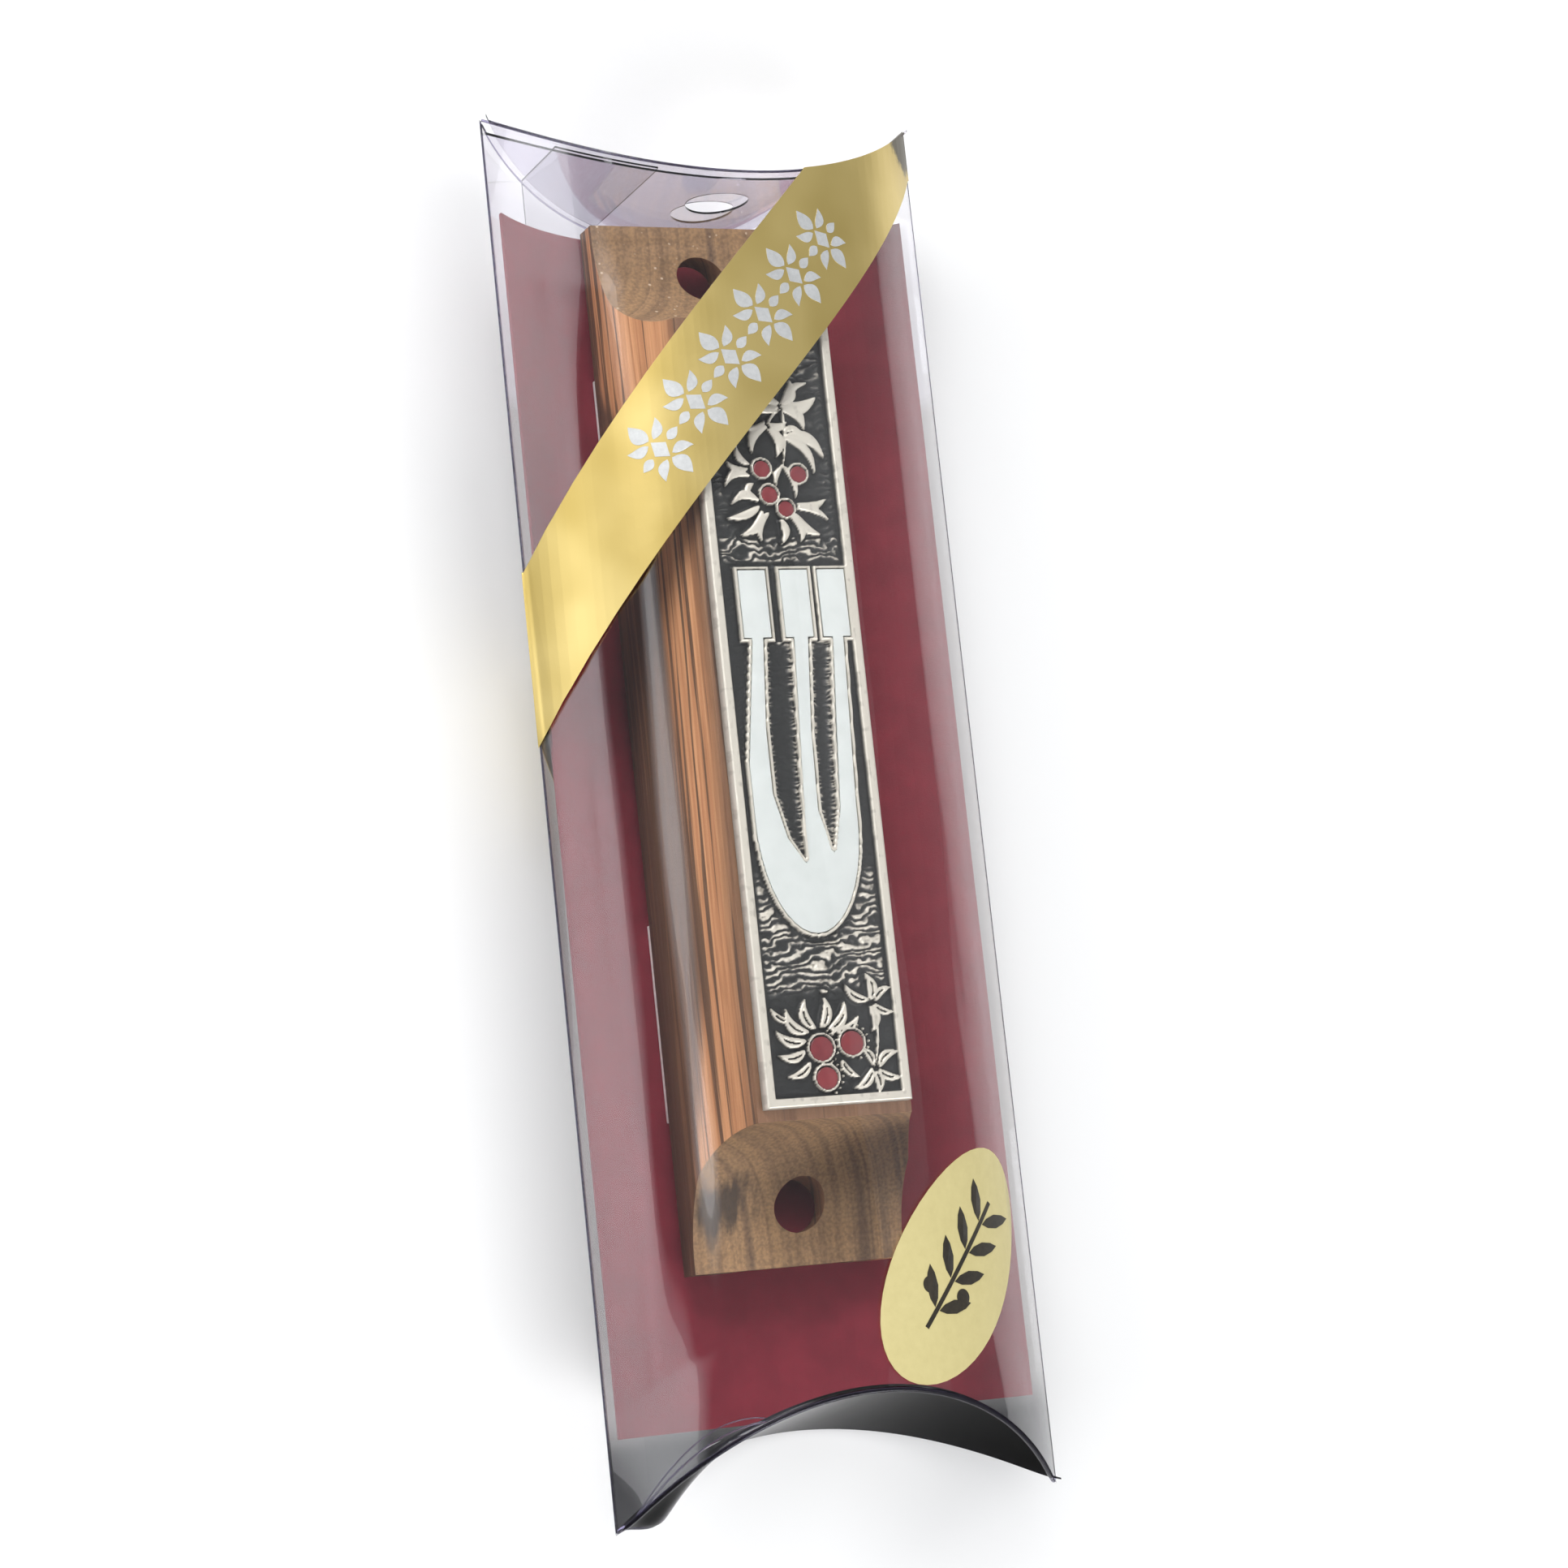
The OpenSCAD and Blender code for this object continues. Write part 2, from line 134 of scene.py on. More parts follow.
def raised(tree, height, depth, shader, strength=1.0):
    bump = put(tree, "ShaderNodeBump")
    bump.inputs["Strength"].default_value = strength
    bump.inputs["Distance"].default_value = depth * MM
    join(tree, height, bump.inputs["Height"])
    join(tree, bump.outputs["Normal"], shader.inputs["Normal"])


def effect(name, inputs, outputs):
    group = bpy.data.node_groups.new(name, "ShaderNodeTree")
    for label, kind, value in inputs:
        pin = group.interface.new_socket(name=label, in_out="INPUT", socket_type=kind)
        if value is not None:
            pin.default_value = value
    for label, kind in outputs:
        group.interface.new_socket(name=label, in_out="OUTPUT", socket_type=kind)
    start = group.nodes.new("NodeGroupInput")
    end = group.nodes.new("NodeGroupOutput")
    return group, start, end


def use_effect(tree, group, vector, **values):
    node = put(tree, "ShaderNodeGroup", node_tree=group, **values)
    join(tree, vector, node.inputs["Vector"])
    return node


# growth lines of the wood: soft bands round a far-off heart, thin dark veins and fine fibres
growth, g_in, g_out = effect(
    "growth lines",
    [("Vector", "NodeSocketVector", None), ("Sway", "NodeSocketFloat", 5.0)],
    [("Bands", "NodeSocketFloat"), ("Veins", "NodeSocketFloat"), ("Fibres", "NodeSocketFloat"),
     ("Heart", "NodeSocketFloat")])
here = g_in.outputs["Vector"]
wander = noise(growth, mapped(growth, here, Scale=(38, 8, 38)), Scale=1.0, Detail=2.0, Roughness=0.5)
reach = put(growth, "ShaderNodeVectorMath", operation="LENGTH")
join(growth, mapped(growth, here, Location=(35, 0, 15), Scale=(1000, 1, 1000)), reach.inputs[0])
swing = sums(growth, "MULTIPLY", sums(growth, "SUBTRACT", wander, 0.5), g_in.outputs["Sway"])
ring_place = sums(growth, "ADD", reach.outputs["Value"], swing)
lengthwise = put(growth, "ShaderNodeSeparateXYZ")
join(growth, here, lengthwise.inputs[0])
track = put(growth, "ShaderNodeCombineXYZ")
join(growth, ring_place, track.inputs["X"])
join(growth, sums(growth, "MULTIPLY", lengthwise.outputs["Y"], 14.0), track.inputs["Y"])
rings = track.outputs["Vector"]
thread = mapped(growth, here, Scale=(3600, 120, 3600))
for label, vector, scale, detail, roughness in (
        ("Bands", rings, 0.42, 3.0, 0.55), ("Veins", rings, 1.35, 2.0, 0.45),
        ("Fibres", thread, 1.0, 3.0, 0.65)):
    level = noise(growth, vector, Scale=scale, Detail=detail, Roughness=roughness)
    join(growth, level, g_out.inputs[label])
join(growth, ring_place, g_out.inputs["Heart"])


def ranged(tree, value, low, high, to_low, to_high, kind="SMOOTHSTEP"):
    span = put(tree, "ShaderNodeMapRange", interpolation_type=kind)
    join(tree, value, span.inputs["Value"])
    span.inputs["From Min"].default_value = low
    span.inputs["From Max"].default_value = high
    span.inputs["To Min"].default_value = to_low
    span.inputs["To Max"].default_value = to_high
    return span.outputs["Result"]


def olive_finish(name, light, middle, dark, sway, shift):
    finish, tree, shader = new_finish(name)
    spot = own_place(tree)
    move = mapped(tree, spot, Location=[s * MM for s in shift])
    grain = use_effect(tree, growth, move, Sway=sway)
    end_cut = put(tree, "ShaderNodeAttribute", attribute_name="end_cut").outputs["Fac"]
    base = shades(tree, grain.outputs["Bands"], [(0.34, light), (0.49, middle), (0.57, light), (0.66, middle)])
    # dark heartwood on the left, in the middle of the length, its edge breaking up
    patches = noise(tree, mapped(tree, move, Scale=(160, 26, 160)), Scale=1.0, Detail=2.0)
    edge = sums(tree, "ADD", grain.outputs["Heart"], sums(tree, "MULTIPLY", patches, -7.0))
    where = put(tree, "ShaderNodeSeparateXYZ")
    join(tree, spot, where.inputs[0])
    upward = sums(tree, "ADD", ranged(tree, where.outputs["Y"], -0.048, -0.012, 1.6, -2.6),
                  ranged(tree, where.outputs["Y"], 0.034, 0.050, 0.0, 7.0))
    edge = sums(tree, "ADD", edge, upward)
    core = ranged(tree, edge, 31.0, 33.0, 0.86, 0.0)
    colour = blended(tree, core, base, dark)
    crowd = ranged(tree, sums(tree, "ADD", grain.outputs["Heart"], upward), 34.0, 40.0, 0.17, 0.0)
    vein_level = sums(tree, "ADD", grain.outputs["Veins"], crowd)
    vein = ranged(tree, vein_level, 0.58, 0.655, 0.0, 0.88)
    colour = blended(tree, vein, colour, dark)
    # painted shade: a dark line along each edge of the front face beside the plate stands in for the shade
    # where the plate meets the wood
    off_middle = sums(tree, "ABSOLUTE", where.outputs["X"], 0.0)
    off_middle = sums(tree, "ADD", off_middle, sums(tree, "MULTIPLY", patches, -0.0006))
    plate_edge_painted_shade = ranged(tree, off_middle, 0.0086, 0.0096, 0.72, 0.0)
    colour = blended(tree, plate_edge_painted_shade, colour, dark)
    threads = shades(tree, grain.outputs["Fibres"], [(0.30, (0.74, 0.70, 0.64)), (0.62, (1.06, 1.05, 1.04))])
    colour = blended(tree, 0.75, colour, threads, "MULTIPLY")
    # the scooped ends are cut across the grain: duller, softer bands, open pores
    pores = noise(tree, move, Scale=2600.0, Detail=2.0)
    dull_bands = shades(tree, grain.outputs["Bands"], [
        (0.36, (0.30, 0.180, 0.085)), (0.47, (0.205, 0.122, 0.062)), (0.56, (0.315, 0.19, 0.092)),
        (0.66, (0.14, 0.085, 0.05))])
    stipple = shades(tree, pores, [(0.36, (0.72, 0.72, 0.74)), (0.62, (1.10, 1.10, 1.08))])
    dull = blended(tree, 0.9, dull_bands, stipple, "MULTIPLY")
    knot_gap = put(tree, "ShaderNodeVectorMath", operation="DISTANCE")
    knot_gap.inputs[1].default_value = (-0.0092, -0.0448, 0.0105)
    join(tree, spot, knot_gap.inputs[0])
    slant = mapped(tree, spot, Rotation=(0, 0, math.radians(38)), Scale=(760, 150, 300))
    streaks = noise(tree, slant, Scale=1.0, Detail=3.0)
    knot_wide = sums(tree, "ADD", knot_gap.outputs["Value"], sums(tree, "MULTIPLY", streaks, -0.0085))
    knot = ranged(tree, knot_wide, -0.0024, 0.0008, 0.85, 0.0)
    dull = blended(tree, knot, dull, (0.030, 0.022, 0.018))
    flecks = put(tree, "ShaderNodeTexVoronoi", Scale=900.0, Randomness=1.0)
    join(tree, spot, flecks.inputs["Vector"])
    some = noise(tree, spot, Scale=700.0, Detail=1.0)
    at_top = ranged(tree, where.outputs["Y"], 0.048, 0.052, 0.0, 1.0)
    fleck = ranged(tree, flecks.outputs["Distance"], 0.10, 0.19, 1.0, 0.0)
    fleck = sums(tree, "MULTIPLY", fleck, ranged(tree, some, 0.52, 0.60, 0.0, 0.8))
    fleck = sums(tree, "MULTIPLY", fleck, at_top)
    dull = blended(tree, fleck, dull, (0.62, 0.50, 0.36))
    colour = blended(tree, end_cut, colour, dull)
    join(tree, colour, shader.inputs["Base Color"])
    rough = ranged(tree, grain.outputs["Fibres"], 0.0, 1.0, 0.62, 0.44, "LINEAR")
    rough = sums(tree, "ADD", rough, sums(tree, "MULTIPLY", end_cut, 0.14))
    join(tree, rough, shader.inputs["Roughness"])
    shader.inputs["Specular IOR Level"].default_value = 0.35
    skin = sums(tree, "ADD", grain.outputs["Fibres"], sums(tree, "MULTIPLY", pores, 0.5))
    raised(tree, skin, 0.05, shader, 0.7)
    return finish


def set_out(name, data):
    thing = bpy.data.objects.new(name, data)
    bpy.context.scene.collection.objects.link(thing)
    return thing


def smooth_copy(node, angle=30, broken=0.0):
    """The named part's own mesh, merged, its sharp edges broken and its curves smoothed."""
    mesh = bpy.data.meshes.new(node + "_made")
    work = bmesh.new()
    work.from_mesh(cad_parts[node].data)
    bmesh.ops.remove_doubles(work, verts=work.verts, dist=0.002 * MM)
    if broken:
        bmesh.ops.dissolve_limit(work, angle_limit=math.radians(1.0), verts=work.verts, edges=work.edges)
        edges = [e for e in work.edges if e.is_manifold and e.calc_face_angle(0) > math.radians(angle)]
        bmesh.ops.bevel(work, geom=edges, offset=broken * MM, segments=2, profile=0.5,
                        affect="EDGES", clamp_overlap=True)
        bmesh.ops.triangulate(work, faces=[f for f in work.faces if len(f.verts) > 4])
    work.to_mesh(mesh)
    work.free()
    mesh.shade_smooth()
    mesh.set_sharp_from_angle(angle=math.radians(angle))
    return set_out(node + "_made", mesh)


def finished(piece, finish, body, slot, *nodes):
    piece.data.materials.clear()
    piece.data.materials.append(finish)
    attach(piece, body)
    if nodes:
        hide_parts(*nodes)


olive = olive_finish("oiled_olive_wood", (0.58, 0.300, 0.142), (0.40, 0.185, 0.082), (0.080, 0.044, 0.026),
                     5.0, (0, 0, 0))
case_body = smooth_copy("wood_body", angle=28, broken=0.25)
case_low, case_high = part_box("wood_body")
scoop_reach = 15.2 * MM
scoop_from = (case_high.y - case_low.y) / 2 - scoop_reach
cuts = case_body.data.attributes.new("end_cut", "FLOAT", "FACE")
for face in case_body.data.polygons:
    away = abs(face.center.y - (case_low.y + case_high.y) / 2)
    facing = face.normal.z > 0.05 and abs(face.normal.x) < 0.2
    cuts.data[face.index].value = 1.0 if away > scoop_from and facing else 0.0
finished(case_body, olive, "tray", "olive_wood", "wood_body")


# ---- Back cover ------------------------------------------------------------------------
# A thin dovetailed slip of the same olive wood. It slides up its groove from below and
# closes the pocket; a thumb nick near its lower end pulls it out.

cover_wood = olive_finish("oiled_olive_slip", (0.50, 0.27, 0.12), (0.36, 0.17, 0.075), (0.10, 0.05, 0.03),
                          4.0, (9, 31, 12))
cover_slip = smooth_copy("back_cover", angle=28, broken=0.12)
finished(cover_slip, cover_wood, "cover", "olive_wood", "back_cover")


# ---- Parchment scroll ------------------------------------------------------------------
# A strip of parchment rolled from its end into a loose tube that rests in the pocket.

def built(name, points, faces, sharp=None, merge=0.0):
    """A new piece from points in metres, its faces turned outward and its curves smoothed."""
    mesh = bpy.data.meshes.new(name)
    mesh.from_pydata(points, [], faces)
    work = bmesh.new()
    work.from_mesh(mesh)
    if merge:
        bmesh.ops.remove_doubles(work, verts=work.verts, dist=merge)
    bmesh.ops.recalc_face_normals(work, faces=work.faces)
    work.to_mesh(mesh)
    work.free()
    mesh.shade_smooth()
    if sharp:
        mesh.set_sharp_from_angle(angle=math.radians(sharp))
    return set_out(name, mesh)


roll_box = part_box("scroll")
roll_mid = (roll_box[0] + roll_box[1]) / 2
roll_out = (roll_box[1].z - roll_box[0].z) / 2
roll_half = (roll_box[1].y - roll_box[0].y) / 2
roll_turns = 3.6
roll_gap = 0.42 * MM
roll_sheet = 0.16 * MM
roll_steps = 150
rim_out = []
rim_in = []
for i in range(roll_steps + 1):
    t = i / roll_steps
    a = 2 * math.pi * roll_turns * t
    r = roll_out - 0.02 * MM - roll_gap * roll_turns * t
    rim_out.append((roll_mid.x + r * math.cos(a), roll_mid.z + r * math.sin(a)))
    rim_in.append((roll_mid.x + (r - roll_sheet) * math.cos(a), roll_mid.z + (r - roll_sheet) * math.sin(a)))
outline = rim_out + rim_in[::-1]
scroll_verts = [(x, roll_mid.y - roll_half, z) for x, z in outline]
scroll_verts += [(x, roll_mid.y + roll_half, z) for x, z in outline]
count = len(outline)
scroll_faces = [(i, (i + 1) % count, count + (i + 1) % count, count + i) for i in range(count)]
for i in range(roll_steps):
    j = count - 1 - i
    scroll_faces.append((i + 1, i, j, j - 1))
    scroll_faces.append((count + i, count + i + 1, count + j - 1, count + j))
scroll_roll = built("parchment_roll", scroll_verts, scroll_faces, sharp=40)

# small even mottling that paper, foil, card and paint share
mottle, m_in, m_out = effect(
    "fine mottle",
    [("Vector", "NodeSocketVector", None), ("Scale", "NodeSocketFloat", 2.0), ("Soft", "NodeSocketFloat", 0.5)],
    [("Tone", "NodeSocketFloat"), ("Cloud", "NodeSocketFloat")])
fine = put(mottle, "ShaderNodeTexNoise", Detail=4.0)
join(mottle, m_in.outputs["Vector"], fine.inputs["Vector"])
join(mottle, m_in.outputs["Scale"], fine.inputs["Scale"])
join(mottle, m_in.outputs["Soft"], fine.inputs["Roughness"])
broad = put(mottle, "ShaderNodeTexNoise", Detail=2.0)
join(mottle, m_in.outputs["Vector"], broad.inputs["Vector"])
join(mottle, sums(mottle, "MULTIPLY", m_in.outputs["Scale"], 0.07), broad.inputs["Scale"])
join(mottle, fine.outputs["Fac"], m_out.inputs["Tone"])
join(mottle, broad.outputs["Fac"], m_out.inputs["Cloud"])


def mottle_on(tree, scale, soft):
    place = mapped(tree, own_place(tree), Scale=(1000, 1000, 1000))
    return use_effect(tree, mottle, place, Scale=scale, Soft=soft)


def mottled_finish(name, pale, deep, size, roughness, lift, soft=0.6):
    finish, tree, shader = new_finish(name)
    spots = mottle_on(tree, 1.0 / size, soft)
    tone = sums(tree, "ADD", sums(tree, "MULTIPLY", spots.outputs["Tone"], 0.5),
                sums(tree, "MULTIPLY", spots.outputs["Cloud"], 0.5))
    join(tree, shades(tree, tone, [(0.36, deep), (0.64, pale)]), shader.inputs["Base Color"])
    shader.inputs["Roughness"].default_value = roughness
    raised(tree, spots.outputs["Tone"], lift, shader, 0.6)
    return finish, shader


parchment, _ = mottled_finish("parchment_skin", (0.86, 0.78, 0.60), (0.72, 0.61, 0.42), 0.9, 0.55, 0.03)
finished(scroll_roll, parchment, "tray", "parchment", "scroll")


# ---- Plate adhesive --------------------------------------------------------------------
# A thin layer of clear contact glue spread between the plate and the wood.

glue, shader = mottled_finish("contact_glue", (0.72, 0.66, 0.46), (0.58, 0.52, 0.34), 1.4, 0.3, 0.03)
shader.inputs["Coat Weight"].default_value = 0.4
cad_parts["plate_adhesive"].data.materials.clear()
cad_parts["plate_adhesive"].data.materials.append(glue)


# ---- Pewter plate ----------------------------------------------------------------------
# One thin casting: a raised rim, two sprays of leaves and fruit and the walls of the
# letter stand over a hammered ground. Blackened all over, then rubbed bright on the relief.

plate_low, plate_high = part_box("metal_plate")
plate_mid = (plate_low + plate_high) / 2
plate_half = (plate_high.x - plate_low.x) / 2 / MM
plate_long = (plate_high.y - plate_low.y) / 2 / MM
plate_top = 1.6
plate_ground = 0.9
cols = 131
rows = 650
gx, gy = np.meshgrid(np.linspace(-plate_half, plate_half, cols), np.linspace(-plate_long, plate_long, rows))


def soft_noise(x, y, wide, high, seed):
    """Smooth random bumps, each about wide by high millimetres."""
    u = (x - x.min()) / wide
    v = (y - y.min()) / high
    grid = np.random.RandomState(seed).rand(int(v.max()) + 3, int(u.max()) + 3)
    i = np.floor(u).astype(int)
    j = np.floor(v).astype(int)
    fu = u - i
    fv = v - j
    fu = fu * fu * (3 - 2 * fu)
    fv = fv * fv * (3 - 2 * fv)
    low = grid[j, i] * (1 - fu) + grid[j, i + 1] * fu
    high_row = grid[j + 1, i] * (1 - fu) + grid[j + 1, i + 1] * fu
    return low * (1 - fv) + high_row * fv


def step(a, b, t):
    k = np.clip((t - a) / (b - a), 0, 1)
    return k * k * (3 - 2 * k)


def leaf_rise(foot, tip, bow, width, vein):
    """Height from 0 to 1 of one curved leaf, and how near a point is to it."""
    dx = tip[0] - foot[0]
    dy = tip[1] - foot[1]
    length = math.hypot(dx, dy)
    u = ((gx - foot[0]) * dx + (gy - foot[1]) * dy) / length ** 2
    v = (-(gx - foot[0]) * dy + (gy - foot[1]) * dx) / length
    v = v - bow * 4 * u * (1 - u)
    along = np.clip(u, 0, 1)
    half = width / 2 * np.sin(np.pi * along ** 0.75) ** 0.7 + 0.05
    past = np.maximum(np.maximum(-u, u - 1), 0) * length
    away = np.hypot(np.maximum(np.abs(v) - half, 0), past)
    inside = np.where((u > 0) & (u < 1), 1 - np.abs(v) / half, 0)
    rise = step(0.0, 0.42, inside) * (0.82 + 0.18 * np.clip(inside, 0, 1))
    if vein:
        cut = np.exp(-(v / 0.08) ** 2) * step(0.10, 0.2, u) * (1 - step(0.60, 0.76, u))
        rise = rise * (1 - 0.8 * cut)
    return rise, away


UPPER_LEAVES = [
    ((1.8, 33.9), (6.1, 35.0), -0.4, 1.7), ((1.9, 33.6), (4.3, 31.3), 0.5, 1.5),
    ((1.9, 34.2), (3.1, 37.0), -0.4, 1.5), ((2.2, 34.2), (5.2, 36.6), 0.4, 1.1),
    ((1.6, 34.2), (-0.2, 36.6), 0.4, 1.3), ((1.5, 33.8), (-1.9, 34.9), 0.4, 1.2),
    ((1.3, 33.2), (-1.6, 32.9), -0.3, 0.9), ((-0.1, 31.7), (-2.2, 28.6), -0.5, 1.3),
    ((0.1, 31.4), (0.7, 28.2), 0.5, 1.4), ((0.0, 31.9), (2.3, 32.2), -0.3, 1.1),
    ((-0.3, 32.2), (-2.9, 31.6), 0.3, 0.9), ((2.0, 30.6), (6.3, 28.1), 0.6, 1.5),
    ((1.9, 30.3), (5.0, 26.3), 0.6, 1.1), ((1.7, 30.9), (4.0, 31.0), 0.3, 0.8),
    ((1.3, 27.2), (2.5, 23.6), 0.3, 0.8), ((1.1, 27.0), (0.3, 24.9), -0.2, 0.7),
    ((-2.7, 27.3), (-4.1, 29.6), 0.3, 0.9), ((-2.9, 26.8), (-5.4, 27.8), 0.3, 0.9),
    ((-2.8, 26.1), (-5.8, 24.9), -0.5, 1.1), ((-2.5, 25.3), (-3.2, 23.7), -0.2, 0.8),
    ((-2.0, 23.3), (-5.2, 22.9), -0.5, 1.2), ((-2.0, 22.6), (-5.9, 21.3), 0.2, 1.0),
    ((-1.7, 22.1), (-4.5, 19.4), 0.4, 1.2), ((-1.0, 21.9), (-2.1, 18.7), -0.4, 1.1),
    ((0.4, 21.2), (0.3, 18.4), 0.3, 1.0), ((1.7, 21.5), (2.6, 18.6), 0.4, 1.2),
    ((2.0, 21.8), (4.9, 19.4), -0.3, 1.3), ((2.4, 22.4), (6.1, 21.0), 0.3, 0.9),
    ((2.5, 22.8), (6.0, 23.4), -0.3, 1.1)]
LOWER_LEAVES = [
    ((-3.2, -36.2), (-6.6, -34.9), 0.4, 1.3), ((-3.4, -37.3), (-6.5, -37.6), 0.3, 1.2),
    ((-2.9, -38.5), (-5.7, -39.9), 0.3, 1.1), ((-2.8, -35.3), (-5.2, -32.6), 0.5, 1.4),
    ((-2.0, -35.0), (-2.9, -31.7), 0.4, 1.3), ((-1.2, -34.9), (-0.6, -31.6), -0.3, 1.3),
    ((-0.4, -35.1), (1.7, -32.2), -0.4, 1.3), ((0.4, -35.4), (3.2, -33.8), -0.3, 1.1),
    ((-4.9, -34.0), (-6.9, -32.5), 0.2, 0.8), ((0.7, -38.5), (2.6, -40.4), -0.2, 0.9),
    ((4.9, -32.2), (4.5, -29.3), -0.3, 1.3), ((4.6, -32.2), (2.0, -30.4), 0.3, 1.1),
    ((5.3, -32.3), (7.3, -30.9), 0.2, 1.0), ((5.2, -32.7), (7.4, -33.6), -0.2, 0.9),
    ((4.8, -32.8), (4.7, -35.6), 0.3, 1.2), ((5.0, -39.4), (7.4, -37.9), 0.3, 1.2),
    ((4.9, -39.8), (7.5, -40.7), -0.2, 1.0), ((4.5, -39.9), (4.7, -42.2), 0.2, 1.2),
    ((4.2, -39.6), (1.9, -41.6), 0.3, 1.2), ((4.4, -39.2), (3.1, -37.3), -0.2, 1.0)]
STEMS = [((1.9, 33.8), (1.3, 27.0), 0.3), ((0.0, 31.9), (1.7, 33.6), 0.2), ((1.4, 27.4), (0.0, 26.4), 0.1),
         ((5.0, -32.6), (4.5, -39.4), 0.5), ((0.6, -35.0), (-0.4, -35.6), 0.1),
         ((-0.9, -30.9), (0.0, -31.0), 0.0)]
FRUIT = [(-1.3, 26.9, 1.25), (3.0, 26.3, 1.25), (-0.7, 24.0, 1.25), (1.1, 22.4, 1.2),
         (-1.5, -37.0, 1.65), (2.1, -36.6, 1.65), (-1.2, -40.2, 1.55)]

relief = np.zeros_like(gx)
near = np.full_like(gx, 9.0)
for leaves, veined in ((UPPER_LEAVES, False), (LOWER_LEAVES, True)):
    for foot, tip, bow, width in leaves:
        rise, away = leaf_rise(foot, tip, bow * 1.7, width * 1.25, veined)
        relief = np.maximum(relief, rise)
        near = np.minimum(near, away)
for foot, tip, bow in STEMS:
    rise, away = leaf_rise(foot, tip, bow, 0.45, False)
    relief = np.maximum(relief, rise * 0.85)
    near = np.minimum(near, away)
for x0, y0, radius in FRUIT:
    away = np.hypot(gx - x0, gy - y0)
    relief = np.where(away < radius, 0.0, relief)
for x0, y0, radius in FRUIT:
    away = np.hypot(gx - x0, gy - y0)
    wall = 1 - step(0.10, 0.19, np.abs(away - radius + 0.13))
    relief = np.maximum(relief, wall)
    near = np.minimum(near, np.maximum(away - radius, 0))
# rows of seeds beside the three pomegranates
for x0, y0, radius in FRUIT[4:]:
    for k in range(7):
        a = math.radians(-62 + 21 * k)
        away = np.hypot(gx - x0 - (radius + 0.33) * math.cos(a), gy - y0 - (radius + 0.33) * math.sin(a))
        relief = np.maximum(relief, 0.95 * (1 - step(0.10, 0.2, away)))
        near = np.minimum(near, np.maximum(away - 0.2, 0))


def box_gap(x0, x1, y0, y1):
    """Distance to an upright rectangle, negative inside."""
    dx = np.abs(gx - (x0 + x1) / 2) - (x1 - x0) / 2
    dy = np.abs(gy - (y0 + y1) / 2) - (y1 - y0) / 2
    return np.hypot(np.maximum(dx, 0), np.maximum(dy, 0)) + np.minimum(np.maximum(dx, dy), 0)


def outline_gap(points):
    """Distance to a closed outline, negative inside."""
    best = np.full_like(gx, 99.0)
    side = np.zeros(gx.shape, bool)
    for i, (ax, ay) in enumerate(points):
        bx, by = points[(i + 1) % len(points)]
        t = np.clip(((gx - ax) * (bx - ax) + (gy - ay) * (by - ay)) / ((bx - ax) ** 2 + (by - ay) ** 2), 0, 1)
        best = np.minimum(best, np.hypot(gx - ax - t * (bx - ax), gy - ay - t * (by - ay)))
        if ay != by:
            crossing = (bx - ax) * (gy - ay) / (by - ay) + ax
            side ^= ((ay > gy) != (by > gy)) & (gx < crossing)
    return np.where(side, -best, best)


bowl = []
for i in range(21):
    a = math.radians(180 + 9 * i)
    bowl.append((-0.4 + 6.45 * math.cos(a), -12.4 + 12.7 * math.sin(a)))
letter = outline_gap([(-5, 9), (-5, 7.5), (-6.85, -6)] + bowl + [(6.05, -11), (6.7, 7.5), (6.7, 9)])
for x0, x1 in ((-5.9, -1.8), (-1.0, 3.2), (3.5, 7.6)):
    letter = np.minimum(letter, box_gap(x0, x1, 7.5, 15.9))
slit_one = outline_gap([(-2.8, 7.5), (-3.6, -2.2), (-3.6, -9.3), (-2.4, -14.2), (-1, -16.5), (-0.9, -11),
                        (-0.5, -2.2), (0, 7.5)])
slit_two = outline_gap([(2.5, 7.5), (1.7, -2.4), (1.5, -11.3), (2.4, -15.5), (3.25, -11.3), (3.8, -2.4),
                        (4.6, 7.5)])
letter = np.maximum(letter, -slit_one)
letter = np.maximum(letter, -slit_two)
letter = np.maximum(letter, -box_gap(-1.8, -1.0, 7.5, 19.5))
letter = np.maximum(letter, -box_gap(3.2, 3.5, 7.5, 19.5))
wall = (1 - step(-0.06, 0.08, letter)) * step(-0.46, -0.36, letter)
relief = np.maximum(relief, wall)
near = np.minimum(near, np.maximum(letter, 0))

rim_in = np.minimum(plate_half - np.abs(gx), plate_long - np.abs(gy))
rim = 1 - step(0.98, 1.16, rim_in)
near = np.minimum(near, np.maximum(rim_in - 1.1, 0))
edge_round = 0.16 * (1 - step(0.0, 0.22, rim_in)) ** 2

# hammered ground: short ridges across the plate, tallest in two open fields
open_field = np.maximum(step(16.2, 16.7, gy) * (1 - step(18.6, 20.5, gy)),
                        step(-32.0, -30.0, gy) * (1 - step(-19.5, -16.0, gy)))
open_field = np.maximum(open_field, 0.6 * step(34.0, 37.5, gy))
open_field = np.maximum(open_field, 0.45 * step(16.2, 16.7, gy) * step(3.4, 6.5, np.abs(gx)))
wobble = soft_noise(gx, gy, 1.9, 1.2, 3) * 1.6 + soft_noise(gx, gy, 0.6, 0.5, 4) * 0.7
lines = 0.5 + 0.5 * np.sin((gy + wobble * 0.8 - 0.12 * gx) * 2 * np.pi / 0.8)
chips = soft_noise(gx, gy, 0.34, 0.26, 7)
grit = soft_noise(gx, gy, 0.2, 0.16, 9)
broken_up = soft_noise(gx, gy, 1.3, 0.8, 11)
ridges = np.clip(lines * (0.62 + 0.8 * broken_up) - 0.18, 0, 1) * (0.45 + 0.55 * chips)
clear = step(0.1, 0.7, near)
between = (slit_one < 0) | (slit_two < 0)
